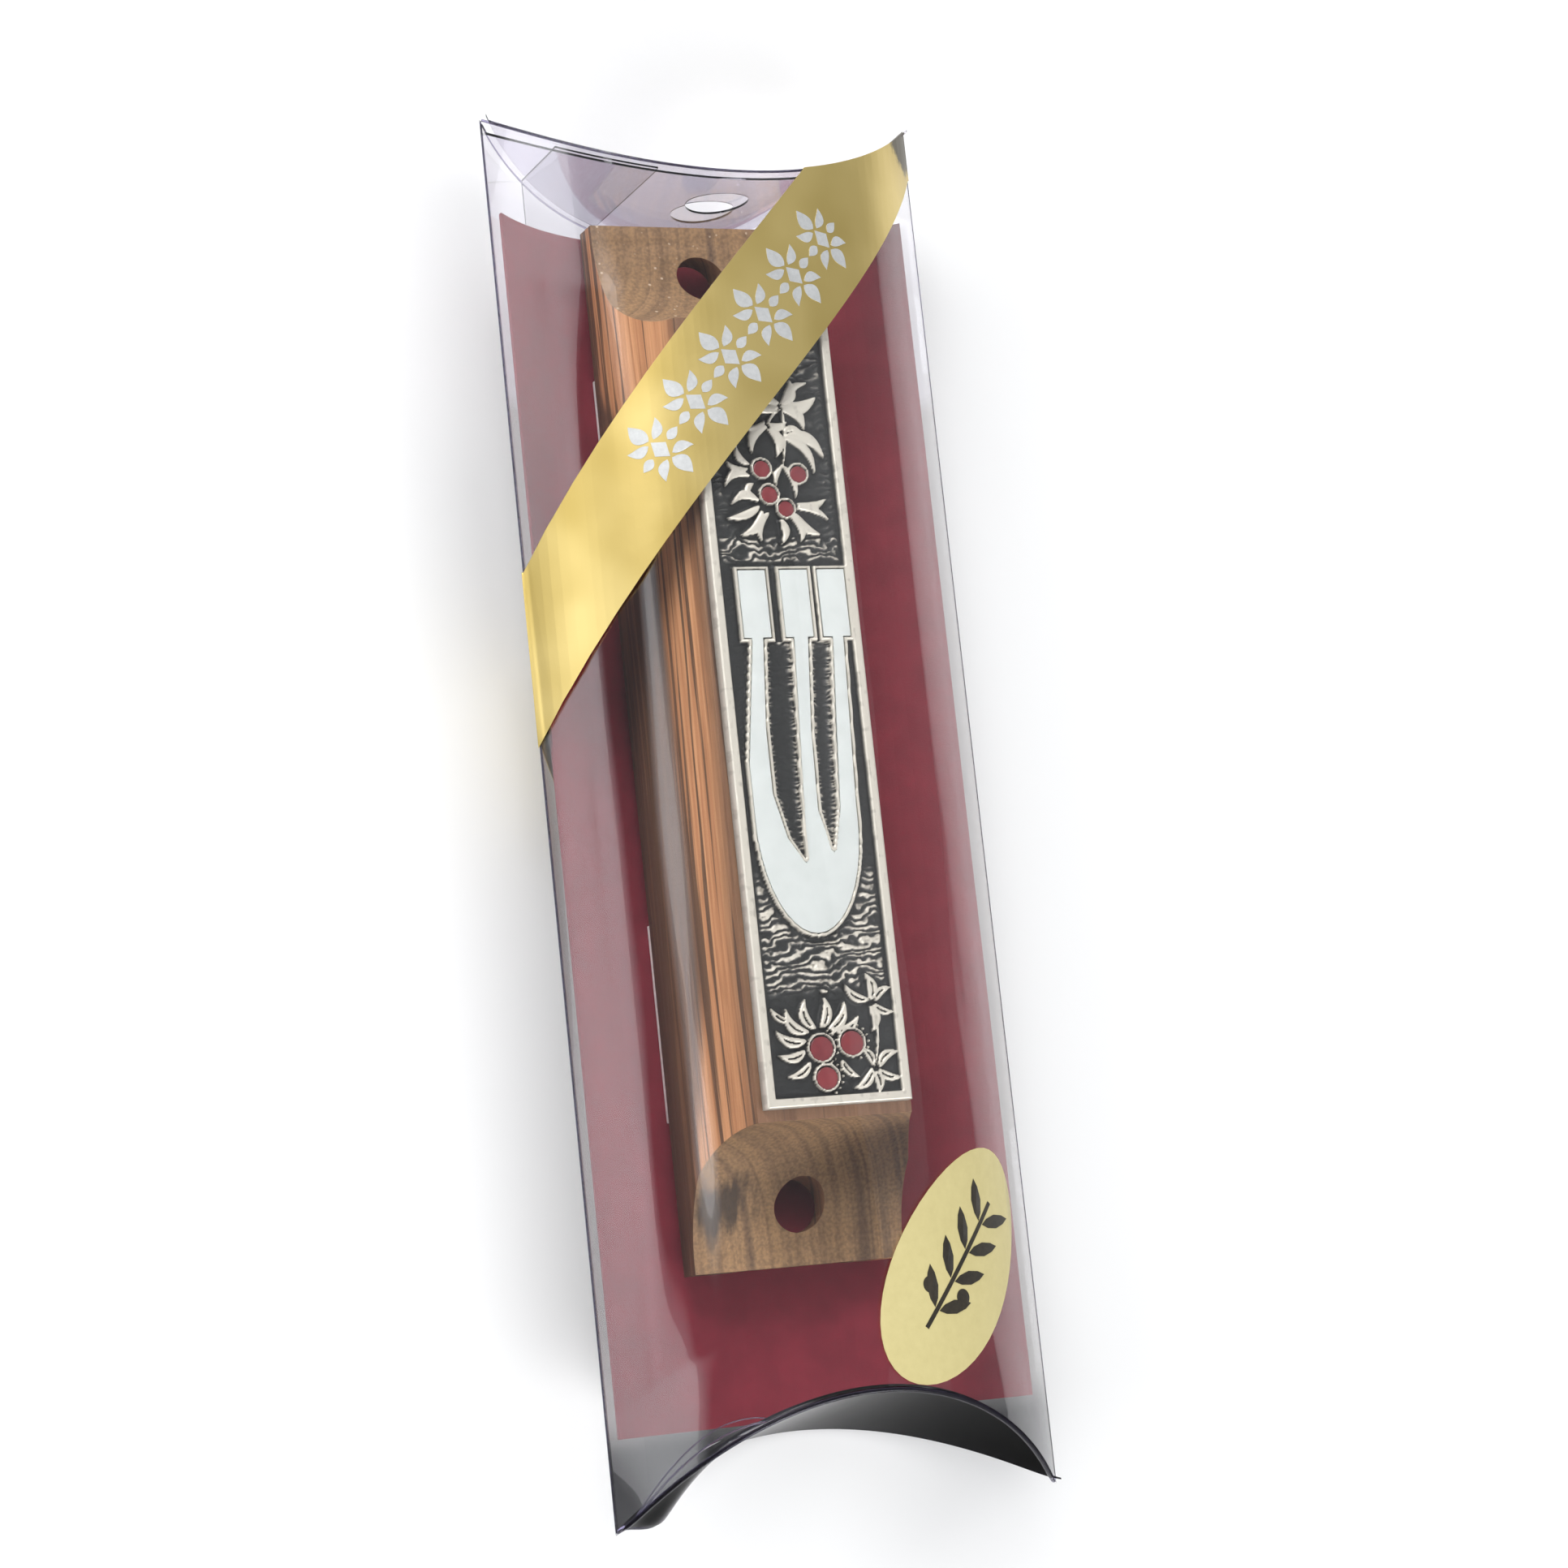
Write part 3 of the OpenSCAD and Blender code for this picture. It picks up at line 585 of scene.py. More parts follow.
bristle = 0.5 + 0.5 * np.sin((gy + soft_noise(gx, gy, 0.8, 0.4, 13) * 0.7) * 2 * np.pi / 0.55)
reach_in = 0.55 + 0.5 * soft_noise(gx, gy, 1.0, 0.5, 15)
side_fur = (1 - step(0.1, 1.0, np.maximum(letter, 0) / reach_in)) * bristle * (letter > 0)
ground_rise = ridges * (0.22 + 0.78 * open_field) * clear * 0.34 + grit * 0.06
ground_rise = ground_rise + np.where(between, side_fur * 0.26, side_fur * 0.05)

raised_part = np.maximum(relief, rim)
level = plate_ground + (plate_top - plate_ground) * raised_part
level = np.maximum(level, plate_ground + ground_rise * (1 - raised_part))
level = level - edge_round - 0.03 * soft_noise(gx, gy, 1.1, 1.1, 17) * raised_part
rub = step(0.55, 0.85, raised_part)
rub = np.maximum(rub, np.clip(ground_rise * 4.4 - 0.18, 0, 0.86) * (0.32 + 0.68 * open_field))
rub = np.maximum(rub, np.where(between, side_fur * 0.72, 0))
rim_line = np.exp(-((rim_in - 0.74) / 0.07) ** 2) * 0.3 * soft_noise(gx, gy, 0.5, 3.0, 19)
rub = np.clip(rub - rim_line - 0.22 * step(0.6, 0.9, soft_noise(gx, gy, 0.5, 0.7, 21)) * raised_part, 0, 1)
inside_letter = letter < -0.4
level = np.where(inside_letter, plate_ground, level)

wx = plate_mid.x + gx * MM
wy = plate_mid.y + gy * MM
wz = plate_low.z + np.minimum(level, 1.64) * MM
top_points = np.stack([wx, wy, wz], -1).reshape(-1, 3)
ring = list(range(cols)) + [r * cols + cols - 1 for r in range(1, rows)]
ring += [(rows - 1) * cols + c for c in range(cols - 2, -1, -1)] + [r * cols for r in range(rows - 2, 0, -1)]
foot_points = top_points[ring].copy()
foot_points[:, 2] = plate_low.z
plate_points = np.concatenate([top_points, foot_points])
base = len(top_points)
grid_at = np.arange(rows * cols).reshape(rows, cols)
quads = np.stack([grid_at[:-1, :-1], grid_at[:-1, 1:], grid_at[1:, 1:], grid_at[1:, :-1]], -1).reshape(-1, 4)
plate_faces = [tuple(int(k) for k in q) for q in quads]
ring_count = len(ring)
for i in range(ring_count):
    j = (i + 1) % ring_count
    plate_faces.append((ring[j], ring[i], base + i, base + j))
plate_faces.append(tuple(base + i for i in range(ring_count - 1, -1, -1)))
plate_mesh = bpy.data.meshes.new("pewter_plate")
plate_mesh.from_pydata(plate_points.tolist(), [], plate_faces)
plate_mesh.shade_smooth()
plate_mesh.set_sharp_from_angle(angle=math.radians(62))
rub_values = np.concatenate([rub.reshape(-1), np.full(ring_count, 0.55)]).astype(np.float32)
rub_mark = plate_mesh.attributes.new("rubbed", "FLOAT", "POINT")
rub_mark.data.foreach_set("value", rub_values)
plate_piece = set_out("pewter_plate", plate_mesh)

pewter, tree, shader = new_finish("rubbed_pewter")
mark = put(tree, "ShaderNodeAttribute", attribute_name="rubbed")
spots = mottle_on(tree, 3.2, 0.7)
worn = sums(tree, "ADD", mark.outputs["Fac"], sums(tree, "MULTIPLY", sums(
    tree, "SUBTRACT", spots.outputs["Tone"], 0.5), 0.35))
tarnish = shades(tree, worn, [
    (0.10, (0.012, 0.013, 0.012)), (0.34, (0.055, 0.055, 0.050)), (0.62, (0.36, 0.335, 0.28)),
    (0.88, (0.60, 0.57, 0.485))])
join(tree, tarnish, shader.inputs["Base Color"])
metal = ranged(tree, worn, 0.0, 1.0, 0.25, 0.45, "LINEAR")
join(tree, metal, shader.inputs["Metallic"])
dull = ranged(tree, worn, 0.0, 1.0, 0.58, 0.40, "LINEAR")
join(tree, dull, shader.inputs["Roughness"])
raised(tree, spots.outputs["Tone"], 0.03, shader, 0.6)
finished(plate_piece, pewter, "tray", "pewter", "metal_plate")


# ---- White enamel of the letter --------------------------------------------------------
# Cold enamel poured between the walls of the letter. It sets a hair below their tops,
# with a soft skin and a faint mottling.

enamel, shader = mottled_finish("white_enamel", (0.53, 0.56, 0.535), (0.47, 0.50, 0.475), 2.4, 0.28, 0.02)
shader.inputs["Coat Weight"].default_value = 0.3
shader.inputs["Coat Roughness"].default_value = 0.12
letter_fill = smooth_copy("shin_enamel", angle=40, broken=0.06)
finished(letter_fill, enamel, "tray", "white_enamel", "shin_enamel")


# ---- Red enamel of the fruit -----------------------------------------------------------
# The same enamel in dark red, a drop in each ring of the sprays.

red_enamel, shader = mottled_finish("red_enamel", (0.185, 0.022, 0.025), (0.12, 0.014, 0.018), 0.7, 0.3, 0.03)
shader.inputs["Coat Weight"].default_value = 0.5
shader.inputs["Coat Roughness"].default_value = 0.15
for node in ("upper_fruit_enamel", "lower_fruit_enamel"):
    drops = smooth_copy(node, angle=40, broken=0.1)
    finished(drops, red_enamel, "tray", "red_enamel", node)


# ---- Burgundy card ---------------------------------------------------------------------
# Matt card guillotined to size and bowed against the back of the sleeve, its fibres
# showing as a fine mottling.

card_stock, shader = mottled_finish("burgundy_card", (0.205, 0.016, 0.030), (0.155, 0.011, 0.022), 0.22, 0.78,
                                    0.035, 0.7)
shader.inputs["Specular IOR Level"].default_value = 0.25
card_piece = smooth_copy("insert_card", angle=30)
finished(card_piece, card_stock, "tray", "card", "insert_card")


# ---- Foam pads -------------------------------------------------------------------------
# Strips of white double-sided foam tape that hold the case to the card.

foam, _ = mottled_finish("foam_tape", (0.82, 0.82, 0.79), (0.62, 0.62, 0.59), 0.35, 0.9, 0.12, 0.7)
pads_piece = smooth_copy("card_pads", angle=30, broken=0.1)
finished(pads_piece, foam, "tray", "foam", "card_pads")


# ---- Sleeve panels ---------------------------------------------------------------------
# A sheet of clear PVC creased twice along its length: a bulged front, a bulged back, and
# the sharp side creases where they meet. The film keeps slight waves from being folded.

film_thick = 0.25
front_low, front_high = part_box("front_panel")
back_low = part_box("back_panel")[0]
crease_z = front_low.z / MM
half_wide = front_high.x / MM
front_bulge = front_high.z / MM - crease_z
back_bulge = crease_z - back_low.z / MM
front_r = (front_bulge ** 2 + half_wide ** 2) / (2 * front_bulge)
back_r = (back_bulge ** 2 + half_wide ** 2) / (2 * back_bulge)
half_long = 78.2
top_dip = 9.8
low_dip = 10.7
low_lean = math.radians(8)
top_r = (top_dip ** 2 + half_wide ** 2) / (2 * top_dip)
low_r = ((low_dip * math.cos(low_lean)) ** 2 + half_wide ** 2) / (2 * low_dip * math.cos(low_lean))


def front_z(x, inward=0.0):
    return crease_z + front_bulge - front_r + np.sqrt(np.maximum((front_r - inward) ** 2 - x * x, 0))


def back_z(x, inward=0.0):
    return crease_z - back_bulge + back_r - np.sqrt(np.maximum((back_r - inward) ** 2 - x * x, 0))


def top_y(x, outward=0.0):
    return half_long - top_dip + top_r - np.sqrt((top_r + outward) ** 2 - x * x)


def low_y(x, z, outward=0.0):
    rise = low_dip * math.cos(low_lean) - low_r + np.sqrt((low_r + outward) ** 2 - x * x)
    return -half_long + rise / math.cos(low_lean) + (z - crease_z) * math.tan(low_lean)


def sheet_mesh(name, outer, inner):
    """A closed thin sheet from two matching grids of points in millimetres."""
    n, m = outer.shape[:2]
    points = np.concatenate([outer.reshape(-1, 3), inner.reshape(-1, 3)]) * MM
    at = np.arange(n * m).reshape(n, m)
    faces = []
    for a, b, c, d in zip(at[:-1, :-1].ravel(), at[:-1, 1:].ravel(), at[1:, 1:].ravel(), at[1:, :-1].ravel()):
        faces.append((int(a), int(b), int(c), int(d)))
        faces.append((int(d) + n * m, int(c) + n * m, int(b) + n * m, int(a) + n * m))
    border = list(at[0, :]) + list(at[1:, -1]) + list(at[-1, -2::-1]) + list(at[-2:0:-1, 0])
    for i, a in enumerate(border):
        b = border[(i + 1) % len(border)]
        faces.append((int(b), int(a), int(a) + n * m, int(b) + n * m))
    piece = built(name, points.tolist(), faces, sharp=50, merge=0.004 * MM)
    piece.visible_shadow = False
    return piece


def clear_finish(name, tint, roughness, gloss=0.5):
    finish, tree, shader = new_finish(name)
    shader.inputs["Specular IOR Level"].default_value = gloss
    shader.inputs["Base Color"].default_value = (*tint, 1)
    shader.inputs["Roughness"].default_value = roughness
    shader.inputs["IOR"].default_value = 1.46
    shader.inputs["Transmission Weight"].default_value = 1.0
    return finish, tree, shader


film, _, _ = clear_finish("clear_film", (0.97, 0.965, 0.985), 0.015, 0.26)
sx = np.linspace(-1, 1, 141)
sy = np.linspace(0, 1, 261)
ax, ay = np.meshgrid(sx, sy)
front_turn = math.asin(half_wide / front_r)
turn = ax * front_turn
fx = front_r * np.sin(turn)
wave_x = soft_noise(ax * 30, ay * 156, 9.0, 38.0, 31) + 0.5 * soft_noise(ax * 30, ay * 156, 4.0, 17.0, 33)
settle = np.clip((1 - np.abs(ax)) * 5, 0, 1) * np.clip(ay * 14, 0, 1) * np.clip((1 - ay) * 9, 0, 1)
# the film buckles in narrow folds above the lower crease, left of the middle
buckle = np.exp(-((ax + 0.22) / 0.26) ** 2) * np.exp(-((ay - 0.08) / 0.10) ** 2)
folds = 0.5 + 0.5 * np.sin(ax * 44 + 2.0 * soft_noise(ax * 30, ay * 156, 6.0, 12.0, 35))
side_wave = soft_noise(ax * 30, ay * 156, 7.0, 36.0, 37) * (step(0.42, 0.62, -ax) + 0.12 * step(0.42, 0.62, ax))
wave = (0.22 * wave_x + 0.8 * side_wave + 0.17 * buckle * folds) * settle
front_edge_low = low_y(fx, front_z(fx, 0), film_thick + 0.1)
front_edge_high = top_y(fx, film_thick) - 0.02
fy = front_edge_low + (front_edge_high - front_edge_low) * ay
centre_z = crease_z + front_bulge - front_r
outer = np.stack([(front_r - wave) * np.sin(turn), fy, centre_z + (front_r - wave) * np.cos(turn)], -1)
inner_r = front_r - wave - film_thick
inner = np.stack([inner_r * np.sin(turn), fy, centre_z + inner_r * np.cos(turn)], -1)
front_sheet = sheet_mesh("front_film", outer, inner)
finished(front_sheet, film, "sleeve", "film", "front_panel")

# painted shade: the back sheet is tinted grey, darker towards its open lower end and near black at its foot,
# standing in for the dark surroundings seen through the film
back_film, tree, shader = clear_finish("film_painted_dark_to_foot", (0.9, 0.9, 0.9), 0.02)
where = put(tree, "ShaderNodeSeparateXYZ")
join(tree, own_place(tree), where.inputs[0])
along = ranged(tree, where.outputs["Y"], -0.078, 0.078, 0.0, 1.0, "LINEAR")
foot_painted_dark = shades(tree, along, [
    (0.055, (0.085, 0.085, 0.088)), (0.075, (0.36, 0.35, 0.34)), (0.12, (0.48, 0.465, 0.45)),
    (0.55, (0.56, 0.545, 0.53)), (0.785, (0.64, 0.63, 0.62)), (0.80, (0.86, 0.85, 0.89)),
    (1.0, (0.96, 0.95, 0.97))])
join(tree, foot_painted_dark, shader.inputs["Base Color"])


def lip(x, z):
    """How far the lower end bulges out at the left, in millimetres, growing towards the back."""
    depth = np.clip((front_z(x) - z) / (front_z(x) - back_z(x) + 0.01), 0, 1)
    return 4.6 * np.exp(-((x + 19.3) / 4.6) ** 2) * depth ** 1.2


def kept_in(y):
    """Eases a lengthwise place to a stop at the flat foot of the pack."""
    foot = -77.6
    ease = 0.5
    return foot + ease * np.logaddexp(0, (y - foot) / ease)


back_turn = math.asin(half_wide / back_r)
turn = ax * back_turn
bx = back_r * np.sin(turn)
back_edge_low = low_y(bx, back_z(bx), 2 * film_thick + 0.4) - lip(bx, back_z(bx))
back_edge_high = top_y(bx, 2 * film_thick + 0.3) - 0.02
by = kept_in(back_edge_low) * (1 - ay) + back_edge_high * ay
centre_z = crease_z - back_bulge + back_r
outer = np.stack([bx, by, centre_z - back_r * np.cos(turn)], -1)
inner_r = back_r - film_thick
inner = np.stack([inner_r * np.sin(turn), by, centre_z - inner_r * np.cos(turn)], -1)
back_sheet = sheet_mesh("back_film", outer, inner)
finished(back_sheet, back_film, "sleeve", "film", "back_panel")


# ---- Glued seam ------------------------------------------------------------------------
# The strip where the wrapped sheet overlaps itself behind the pack, and on the top flap.

seam_x, seam_run = np.meshgrid(np.linspace(-19.45, -9.65, 41), np.linspace(0.0, 1.0, 141))
seam_low = kept_in(low_y(seam_x, back_z(seam_x), 0.95) - lip(seam_x, back_z(seam_x))) + 0.1
seam_y = seam_low + (top_y(seam_x, 0.52) - seam_low) * seam_run
faces = [np.stack([seam_x, seam_y, back_z(seam_x, -t)], -1) for t in (0.0, film_thick - 0.02)]
seam_strip = sheet_mesh("seam_strip", faces[1], faces[0])
finished(seam_strip, film, "sleeve", "film", "seam_tab")
rise_from = back_z(seam_x, 0.3)
rise_to = front_z(seam_x, 0.9)
seam_z = rise_from + (rise_to - rise_from) * seam_run
faces = [np.stack([seam_x, top_y(seam_x, t), seam_z], -1) for t in (0.31, 0.5)]
seam_turned = sheet_mesh("seam_turned_over", faces[1], faces[0])
finished(seam_turned, film, "sleeve", "film")


# ---- Top flaps -------------------------------------------------------------------------
# The upper end: two lens-shaped flaps folded over each other along curved creases, each
# punched with a hole for hanging.

top_film, _, _ = clear_finish("lilac_film", (0.86, 0.84, 0.90), 0.02)
tx, tt = np.meshgrid(np.linspace(-0.992, 0.992, 97) * half_wide, np.linspace(0.0, 1.0, 25))


def flap_grid(gap, front_in, back_in, end_y):
    """Both faces of an end flap that stands gap millimetres inside the end's curve."""
    faces = []
    for out in (gap, gap + film_thick):
        z_back = back_z(tx, back_in)
        z_front = front_z(tx, front_in)
        z = z_back + np.maximum(z_front - z_back, 0.05) * tt
        faces.append(np.stack([tx, end_y(tx, z, out), z], -1))
    return faces


def hang_hole(piece, z):
    hole_radius = 3.6 * MM
    flap_y = 68.4 * MM
    through = Matrix.Translation((0, flap_y, (crease_z + z) * MM)) @ Matrix.Rotation(math.pi / 2, 4, "X")
    cutter = bmesh.new()
    bmesh.ops.create_cone(cutter, cap_ends=True, segments=64, radius1=hole_radius, radius2=hole_radius,
                          depth=0.02, matrix=through)
    punch_mesh = bpy.data.meshes.new("punch")
    cutter.to_mesh(punch_mesh)
    cutter.free()
    punch = set_out("punch", punch_mesh)
    hole = piece.modifiers.new("hole", "BOOLEAN")
    hole.operation = "DIFFERENCE"
    hole.object = punch
    hole.solver = "EXACT"
    made = bpy.data.meshes.new_from_object(piece.evaluated_get(bpy.context.evaluated_depsgraph_get()))
    piece.modifiers.clear()
    piece.data = made
    bpy.data.objects.remove(punch)
    made.shade_smooth()
    made.set_sharp_from_angle(angle=math.radians(50))


for name, gap, front_in, back_in, hole_z in (
        ("top_flap_front", 0.0, 0.0, 1.2, -0.8),
        ("top_flap_back", film_thick + 0.3, film_thick + 0.9, 0.0, 3.6)):
    inner, outer = flap_grid(gap, front_in, back_in, lambda x, z, out: top_y(x, out))
    flap = sheet_mesh(name + "_film", outer, inner)
    hang_hole(flap, hole_z)
    finished(flap, top_film, "sleeve", "film", name)


# ---- Bottom flaps ----------------------------------------------------------------------
# The lower end, folded the same way and left unsealed; its left lip has bulged out.
# Its film is painted near black, a painted shade standing in for the dark surroundings seen through it.

# painted shade: a near-black tint on the lower flaps stands in for the dark surroundings seen through them
flap_painted_dark, _, shader = clear_finish("flap_film_painted_dark", (0.060, 0.057, 0.062), 0.05)
shader.inputs["IOR"].default_value = 1.04


def open_end(x, z, out):
    return kept_in(low_y(x, z, out) - lip(x, z))


# each hinge is a point on the flap's hinge line, and inside is the way across the flap from it
for name, body, gap, front_in, back_in, hinge, inside in (
        ("bottom_flap_front", "front_flap", 0.0, 0.0, 1.2, (0, -0.0682, 0.0226), (0, 0.726, -0.687)),
        ("bottom_flap_back", "back_flap", film_thick + 0.3, film_thick + 0.9, 0.0, (0, -0.0710, 0.0025),
         (0, 0.807, 0.590))):
    inner, outer = flap_grid(gap, front_in, back_in, open_end)
    flap = sheet_mesh(name + "_film", outer, inner)
    flap.data.materials.append(flap_painted_dark)
    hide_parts(name)
    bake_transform(flap)


# ---- Creases ---------------------------------------------------------------------------
# Where the film is folded it whitens and thickens into narrow violet-grey beads.

crease, _, _ = clear_finish("folded_film", (0.44, 0.40, 0.62), 0.2)


def bead(name, path, thick):
    """A round bead of film along a path of points in millimetres."""
    path = np.array(path)
    ahead = np.gradient(path, axis=0)
    ahead = ahead / np.linalg.norm(ahead, axis=1)[:, None]
    side = np.cross(ahead, (0.0, 0.05, 1.0))
    side = side / np.linalg.norm(side, axis=1)[:, None]
    over = np.cross(side, ahead)
    sides = 8
    verts = []
    for k in range(len(path)):
        for m in range(sides):
            a = 2 * math.pi * m / sides
            verts.append(((path[k] + thick * (math.cos(a) * side[k] + math.sin(a) * over[k])) * MM).tolist())
    faces = []
    for k in range(len(path) - 1):
        for m in range(sides):
            n = (m + 1) % sides
            faces.append((k * sides + m, k * sides + n, (k + 1) * sides + n, (k + 1) * sides + m))
    faces.append(tuple(range(sides)))
    last = (len(path) - 1) * sides
    faces.append(tuple(last + m for m in range(sides - 1, -1, -1)))
    piece = built(name, verts, faces)
    finished(piece, crease, "sleeve", "film")
    piece.visible_shadow = False


span = np.linspace(-0.99, 0.99, 61) * half_wide
run = np.linspace(-77.3, 77.7, 60)
for name, side in (("left_crease", -1), ("right_crease", 1)):
    bead(name, [(side * (half_wide - 0.12), y, crease_z) for y in run], 0.13)
bead("top_front_crease", [(x, top_y(x, 0.14), front_z(x, 0.12)) for x in span], 0.15)
bead("top_back_crease", [(x, top_y(x, 0.5), back_z(x, 0.16)) for x in span], 0.15)
bead("bottom_front_crease", [(x, kept_in(low_y(x, front_z(x), 0.0)), front_z(x, 0.28)) for x in span], 0.26)
mark_run = np.linspace(-24.3, -12.0, 30)
for name, rise, thick in (("fold_mark", 1.5, 0.10), ("second_fold_mark", 2.6, 0.06)):
    lift = rise * np.sin(np.pi * (mark_run + 24.6) / 13.5) ** 0.8
    trail = [(x, low_y(x, front_z(x)) + up, front_z(x, 0.13)) for x, up in zip(mark_run, lift)]
    bead(name, trail, thick)
bead("bottom_back_crease", [(x, open_end(x, back_z(x), 0.6), back_z(x, 0.16)) for x in span], 0.15)


# ---- Gold seal band --------------------------------------------------------------------
# Self-adhesive foil tape wound on the slant round the pack and over its top crease.

gold, tree, shader = new_finish("gold_foil")
spots = mottle_on(tree, 0.9, 0.6)
sheen = shades(tree, spots.outputs["Cloud"], [(0.32, (0.56, 0.41, 0.115)), (0.62, (0.80, 0.625, 0.24))])
# painted shade: at the upper corner, where the tape is crushed over the fold, a near-black patch stands in for
# its shade and dark reflection
corner_gap = put(tree, "ShaderNodeVectorMath", operation="DISTANCE")
corner_gap.inputs[1].default_value = (0.0252, 0.0778, 0.0136)
join(tree, own_place(tree), corner_gap.inputs[0])
ragged = sums(tree, "ADD", corner_gap.outputs["Value"], sums(tree, "MULTIPLY", spots.outputs["Tone"], -0.0030))
corner_painted_shade = ranged(tree, ragged, 0.0026, 0.0042, 0.94, 0.0)
sheen = blended(tree, corner_painted_shade, sheen, (0.035, 0.026, 0.010))
join(tree, sheen, shader.inputs["Base Color"])
shader.inputs["Metallic"].default_value = 0.75
shader.inputs["Roughness"].default_value = 0.34
raised(tree, spots.outputs["Tone"], 0.02, shader, 0.5)
band_piece = smooth_copy("seal_band", angle=30)
finished(band_piece, gold, "sleeve", "gold_foil", "seal_band")


# ---- Silver border on the band ---------------------------------------------------------
# A plain border printed in thick silver along the middle of the band: one drawn mark of
# leaves round a lozenge, repeated at even steps with a very slight lean to each.

silver, shader = mottled_finish("silver_print", (0.70, 0.71, 0.71), (0.56, 0.57, 0.57), 0.5, 0.4, 0.02)
shader.inputs["Metallic"].default_value = 0.3
mark_thick = 0.05
mark_step = 6.3
mark_count = 6


def leaf_outline(foot, turn, length, width, bow=0.0):
    points = []
    for side, order in ((-1, range(10)), (1, range(8, 0, -1))):
        for k in order:
            u = k / 9
            half = side * width / 2 * math.sin(math.pi * u ** 0.8)
            points.append((u * length, bow * 4 * u * (1 - u) + half))
    c, s = math.cos(math.radians(turn)), math.sin(math.radians(turn))
    return [(foot[0] + x * c - y * s, foot[1] + x * s + y * c) for x, y in points]


shapes = [[(-0.95, 0), (0, -1.3), (0.95, 0), (0, 1.3)]]
for way in (1, -1):
    base = 90 * way
    shapes.append(leaf_outline((0, way * 1.55), base, 2.8, 1.7, 0.25))
    shapes.append(leaf_outline((0.45, way * 1.25), base - 56 * way, 2.4, 1.15, -0.35 * way))
    shapes.append(leaf_outline((-0.45, way * 1.25), base + 56 * way, 2.4, 1.15, 0.35 * way))
    shapes.append(leaf_outline((1.3 * way, 0), base - 90, 1.7, 1.1))
mark_verts = []
mark_faces = []
for shape in shapes:
    count = len(shape)
    start = len(mark_verts)
    mark_verts += [(x, y, 0) for x, y in shape] + [(x, y, mark_thick) for x, y in shape]
    mark_faces.append(tuple(start + k for k in range(count - 1, -1, -1)))
    mark_faces.append(tuple(start + count + k for k in range(count)))
    for k in range(count):
        n = (k + 1) % count
        mark_faces.append((start + k, start + n, start + count + n, start + count + k))
mark_mesh = bpy.data.meshes.new("border_mark")
mark_mesh.from_pydata(mark_verts, [], mark_faces)
border_piece = set_out("silver_border", mark_mesh)

border = bpy.data.node_groups.new("border_of_marks", "GeometryNodeTree")
for label, kind in (("Mark", "NodeSocketGeometry"), ("Count", "NodeSocketInt"), ("Step", "NodeSocketFloat"),
                    ("Lean", "NodeSocketFloat"), ("Print", "NodeSocketMaterial")):
    border.interface.new_socket(name=label, in_out="INPUT", socket_type=kind)
border.interface.new_socket(name="Border", in_out="OUTPUT", socket_type="NodeSocketGeometry")
given = put(border, "NodeGroupInput")
result = put(border, "NodeGroupOutput")
apart = put(border, "ShaderNodeCombineXYZ")
join(border, given.outputs["Step"], apart.inputs["X"])
line = put(border, "GeometryNodeMeshLine")
join(border, given.outputs["Count"], line.inputs["Count"])
join(border, apart.outputs["Vector"], line.inputs["Offset"])
chance = put(border, "FunctionNodeRandomValue", data_type="FLOAT")
chance.inputs["Seed"].default_value = 5
level = [o for o in chance.outputs if o.enabled][0]
either_way = sums(border, "SUBTRACT", sums(border, "MULTIPLY", level, 2.0), 1.0)
turning = put(border, "ShaderNodeCombineXYZ")
join(border, sums(border, "MULTIPLY", either_way, given.outputs["Lean"]), turning.inputs["Z"])
setting = put(border, "GeometryNodeInstanceOnPoints")
join(border, line.outputs["Mesh"], setting.inputs["Points"])
join(border, given.outputs["Mark"], setting.inputs["Instance"])
join(border, turning.outputs["Vector"], setting.inputs["Rotation"])
real = put(border, "GeometryNodeRealizeInstances")
join(border, setting.outputs["Instances"], real.inputs["Geometry"])
inked = put(border, "GeometryNodeSetMaterial")
join(border, real.outputs["Geometry"], inked.inputs["Geometry"])
join(border, given.outputs["Print"], inked.inputs["Material"])
join(border, inked.outputs["Geometry"], result.inputs["Border"])
setter = border_piece.modifiers.new("border", "NODES")
setter.node_group = border
pins = {i.name: i.identifier for i in border.interface.items_tree if i.in_out == "INPUT"}
setter[pins["Count"]] = mark_count
setter[pins["Step"]] = mark_step
setter[pins["Lean"]] = 0.02
setter[pins["Print"]] = silver
border_mesh = bpy.data.meshes.new_from_object(border_piece.evaluated_get(bpy.context.evaluated_depsgraph_get()))
border_piece.modifiers.clear()
border_piece.data = border_mesh

# the flat border is laid along the middle of the band and bent over the front panel
low_run, high_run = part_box("band_ornament")
band_middle = (low_run.x + high_run.x) / 2 / MM
band_foil = 0.12


def on_band(along, across, rise):
    u0 = front_r * math.asin(band_middle / front_r)
    u = u0 + along * 0.69
    slope = 1.083 - 0.0056 * u
    turn = math.atan(slope)
    y = 42.2 + 1.083 * u - 0.0028 * u * u + 9.6
    u = u - across * math.sin(turn)
    y = y + across * math.cos(turn)
    r = front_r + band_foil + rise
    z = crease_z + front_bulge - front_r + r * math.cos(u / front_r)
    return (r * math.sin(u / front_r) * MM, y * MM, z * MM)


middle_run = mark_step * (mark_count - 1) / 2
for vert in border_mesh.vertices:
    vert.co = on_band(vert.co.x - middle_run, vert.co.y, vert.co.z)
finished(border_piece, silver, "sleeve", "silver_print", "band_ornament")


# ---- Oval label ------------------------------------------------------------------------
# Pale gold paper, die-cut and pressed onto the bulge of the front panel.

label, _ = mottled_finish("label_paper", (0.72, 0.63, 0.30), (0.66, 0.57, 0.26), 1.2, 0.42, 0.01)
label_piece = smooth_copy("oval_sticker", angle=30)
finished(label_piece, label, "sleeve", "sticker_paper", "oval_sticker")


# ---- Sprig printed on the label --------------------------------------------------------
# One plain olive sprig in dark brown ink.

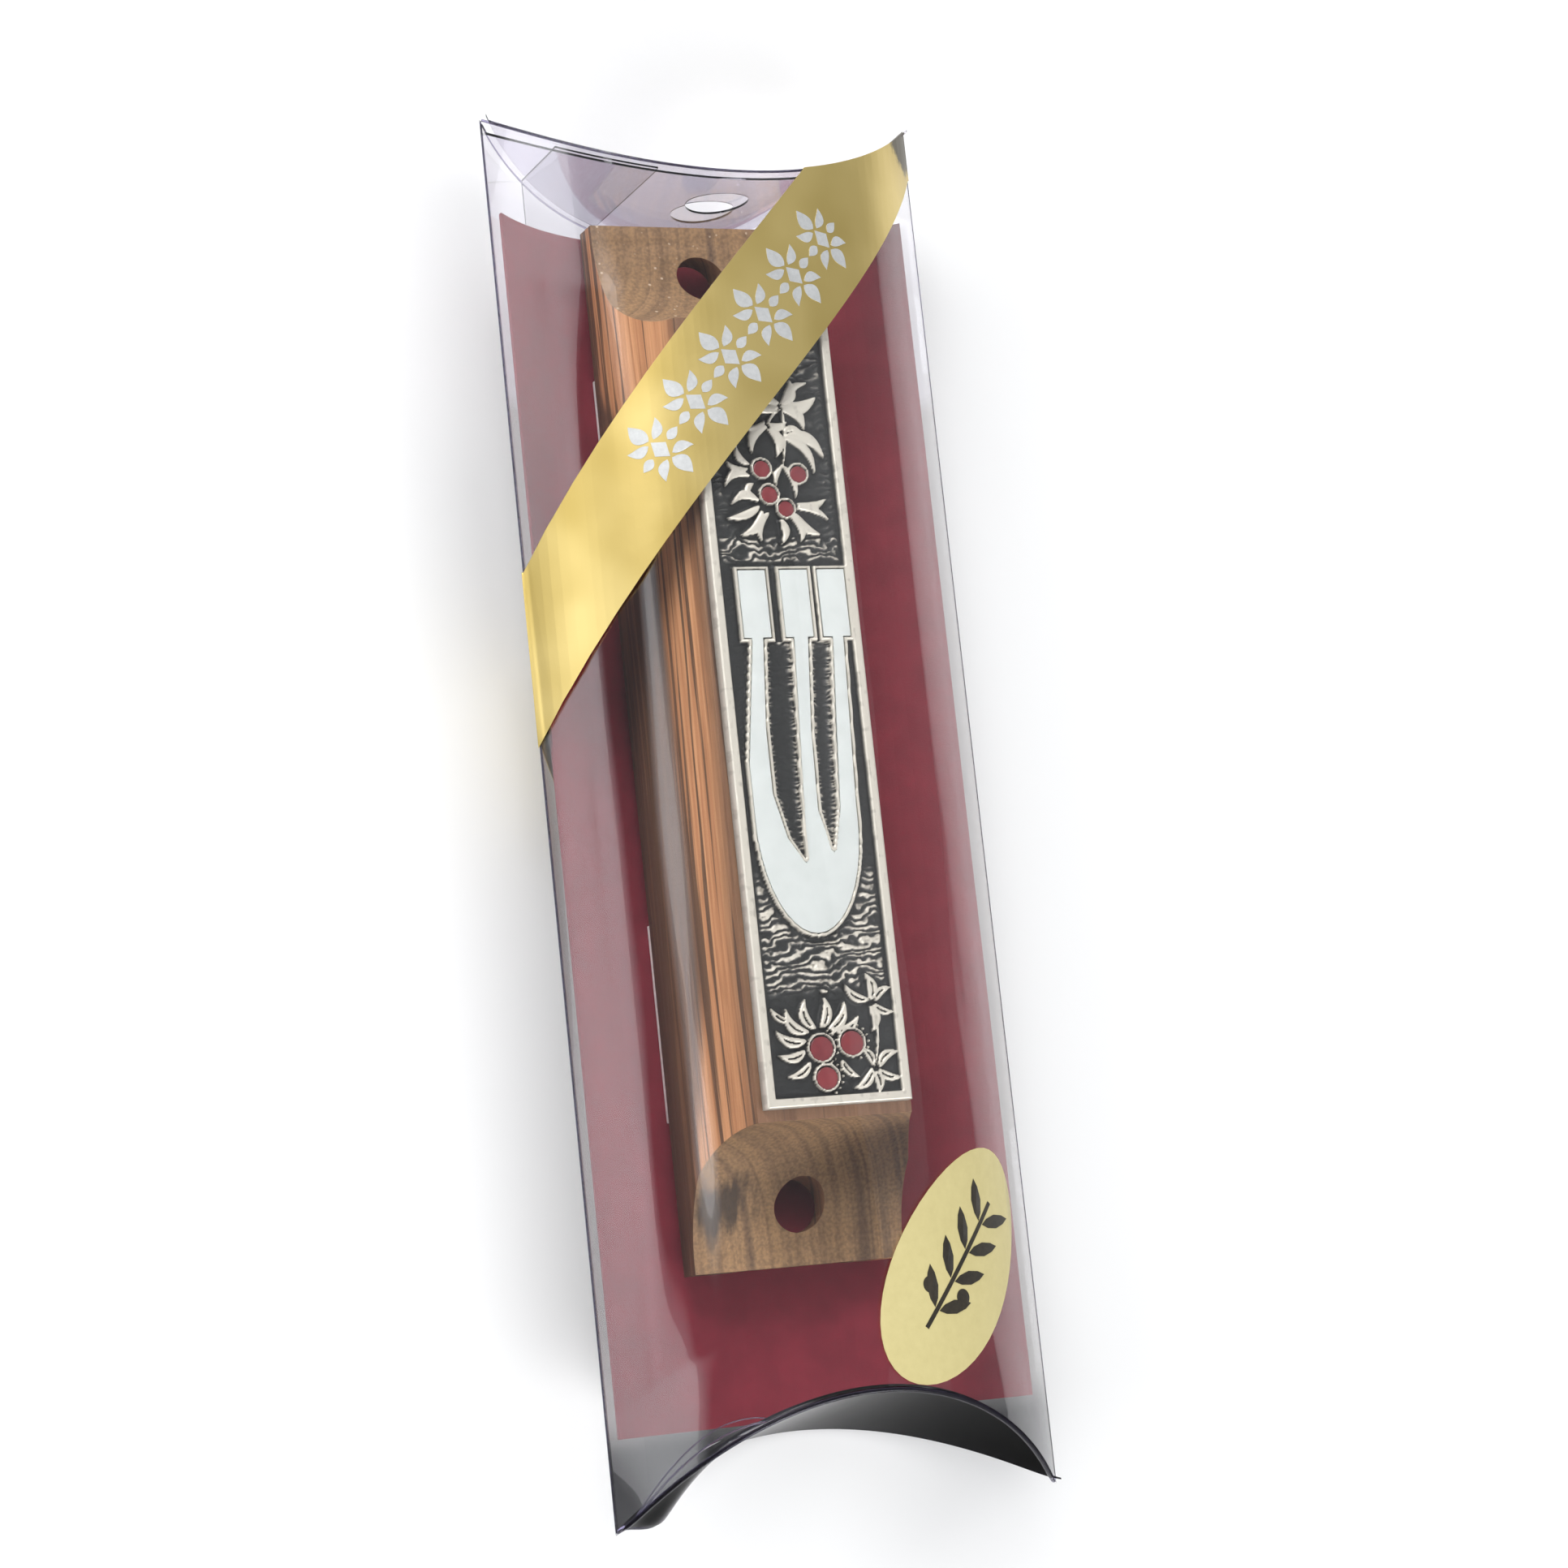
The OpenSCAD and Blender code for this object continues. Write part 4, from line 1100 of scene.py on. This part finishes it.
ink, _ = mottled_finish("label_ink", (0.045, 0.036, 0.022), (0.022, 0.018, 0.012), 0.5, 0.5, 0.01)
print_piece = smooth_copy("sticker_print", angle=30)
finished(print_piece, ink, "sleeve", "sticker_ink", "sticker_print")


# ---- Table, lights and camera ----------------------------------------------------------
# A pale table in a dim room with a soft glow on the left, a far and a near soft box, and
# two faint screens at the sides that light the part but are not mirrored in its film.

table_mesh = bpy.data.meshes.new("table_top")
reach = 3.0
table_mesh.from_pydata([(-reach, -reach, 0), (reach, -reach, 0), (reach, reach, 0), (-reach, reach, 0)], [],
                       [(0, 1, 2, 3)])
table_top = set_out("table_top", table_mesh)
table_top.location.z = -0.0002
pale, _, shader = new_finish("pale_table")
shader.inputs["Base Color"].default_value = (0.95, 0.95, 0.95, 1)
shader.inputs["Roughness"].default_value = 0.9
shader.inputs["Specular IOR Level"].default_value = 0.1
table_mesh.materials.append(pale)

world = bpy.data.worlds.new("dim_room")
bpy.context.scene.world = world
world.use_nodes = True
world.node_tree.nodes["Background"].inputs["Color"].default_value = (0.95, 0.97, 1.0, 1)
tree = world.node_tree
spot = put(tree, "ShaderNodeTexCoord")
facing = put(tree, "ShaderNodeVectorMath", operation="DOT_PRODUCT")
facing.inputs[1].default_value = (-0.88, 0.16, 0.45)
join(tree, spot.outputs["Generated"], facing.inputs[0])
glow = ranged(tree, facing.outputs["Value"], 0.955, 0.999, 0.33, 2.3)
join(tree, glow, tree.nodes["Background"].inputs["Strength"])


def soft_box(name, spot, aim, wide, high, watts):
    lamp = bpy.data.lights.new(name, "AREA")
    lamp.shape = "RECTANGLE"
    lamp.size = wide
    lamp.size_y = high
    lamp.energy = watts
    holder = set_out(name, lamp)
    holder.location = spot
    holder.rotation_euler = (Vector(aim) - Vector(spot)).to_track_quat("-Z", "Y").to_euler()
    return holder


soft_box("far_box", (-0.55, 0.95, 1.0), (0, 0, 0), 0.9, 0.7, 14.0)
soft_box("near_box", (0.35, -1.0, 0.9), (0, 0, 0), 0.9, 0.6, 10.0)
soft_box("left_screen", (-1.1, 0.2, 0.55), (0, 0, 0), 0.7, 0.5, 2.2).visible_glossy = False
soft_box("right_screen", (0.75, 0.18, 0.85), (0, 0, 0), 0.7, 0.6, 0.55).visible_glossy = False

lens = bpy.data.cameras.new("viewer")
lens.lens = 88.6
lens.sensor_width = 36
lens.clip_start = 0.01
viewer = set_out("viewer", lens)
right = Vector((0.91595, -0.10457, 0.38743)).normalized()
back = Vector((-0.39987, -0.15661, 0.90309)).normalized()
up = back.cross(right)
turn = Matrix((right, up, back)).transposed()
viewer.matrix_world = Matrix.Translation((-0.1692, -0.0655, 0.3996)) @ turn.to_4x4()
bpy.context.scene.camera = viewer
bpy.context.scene.view_settings.view_transform = "Standard"
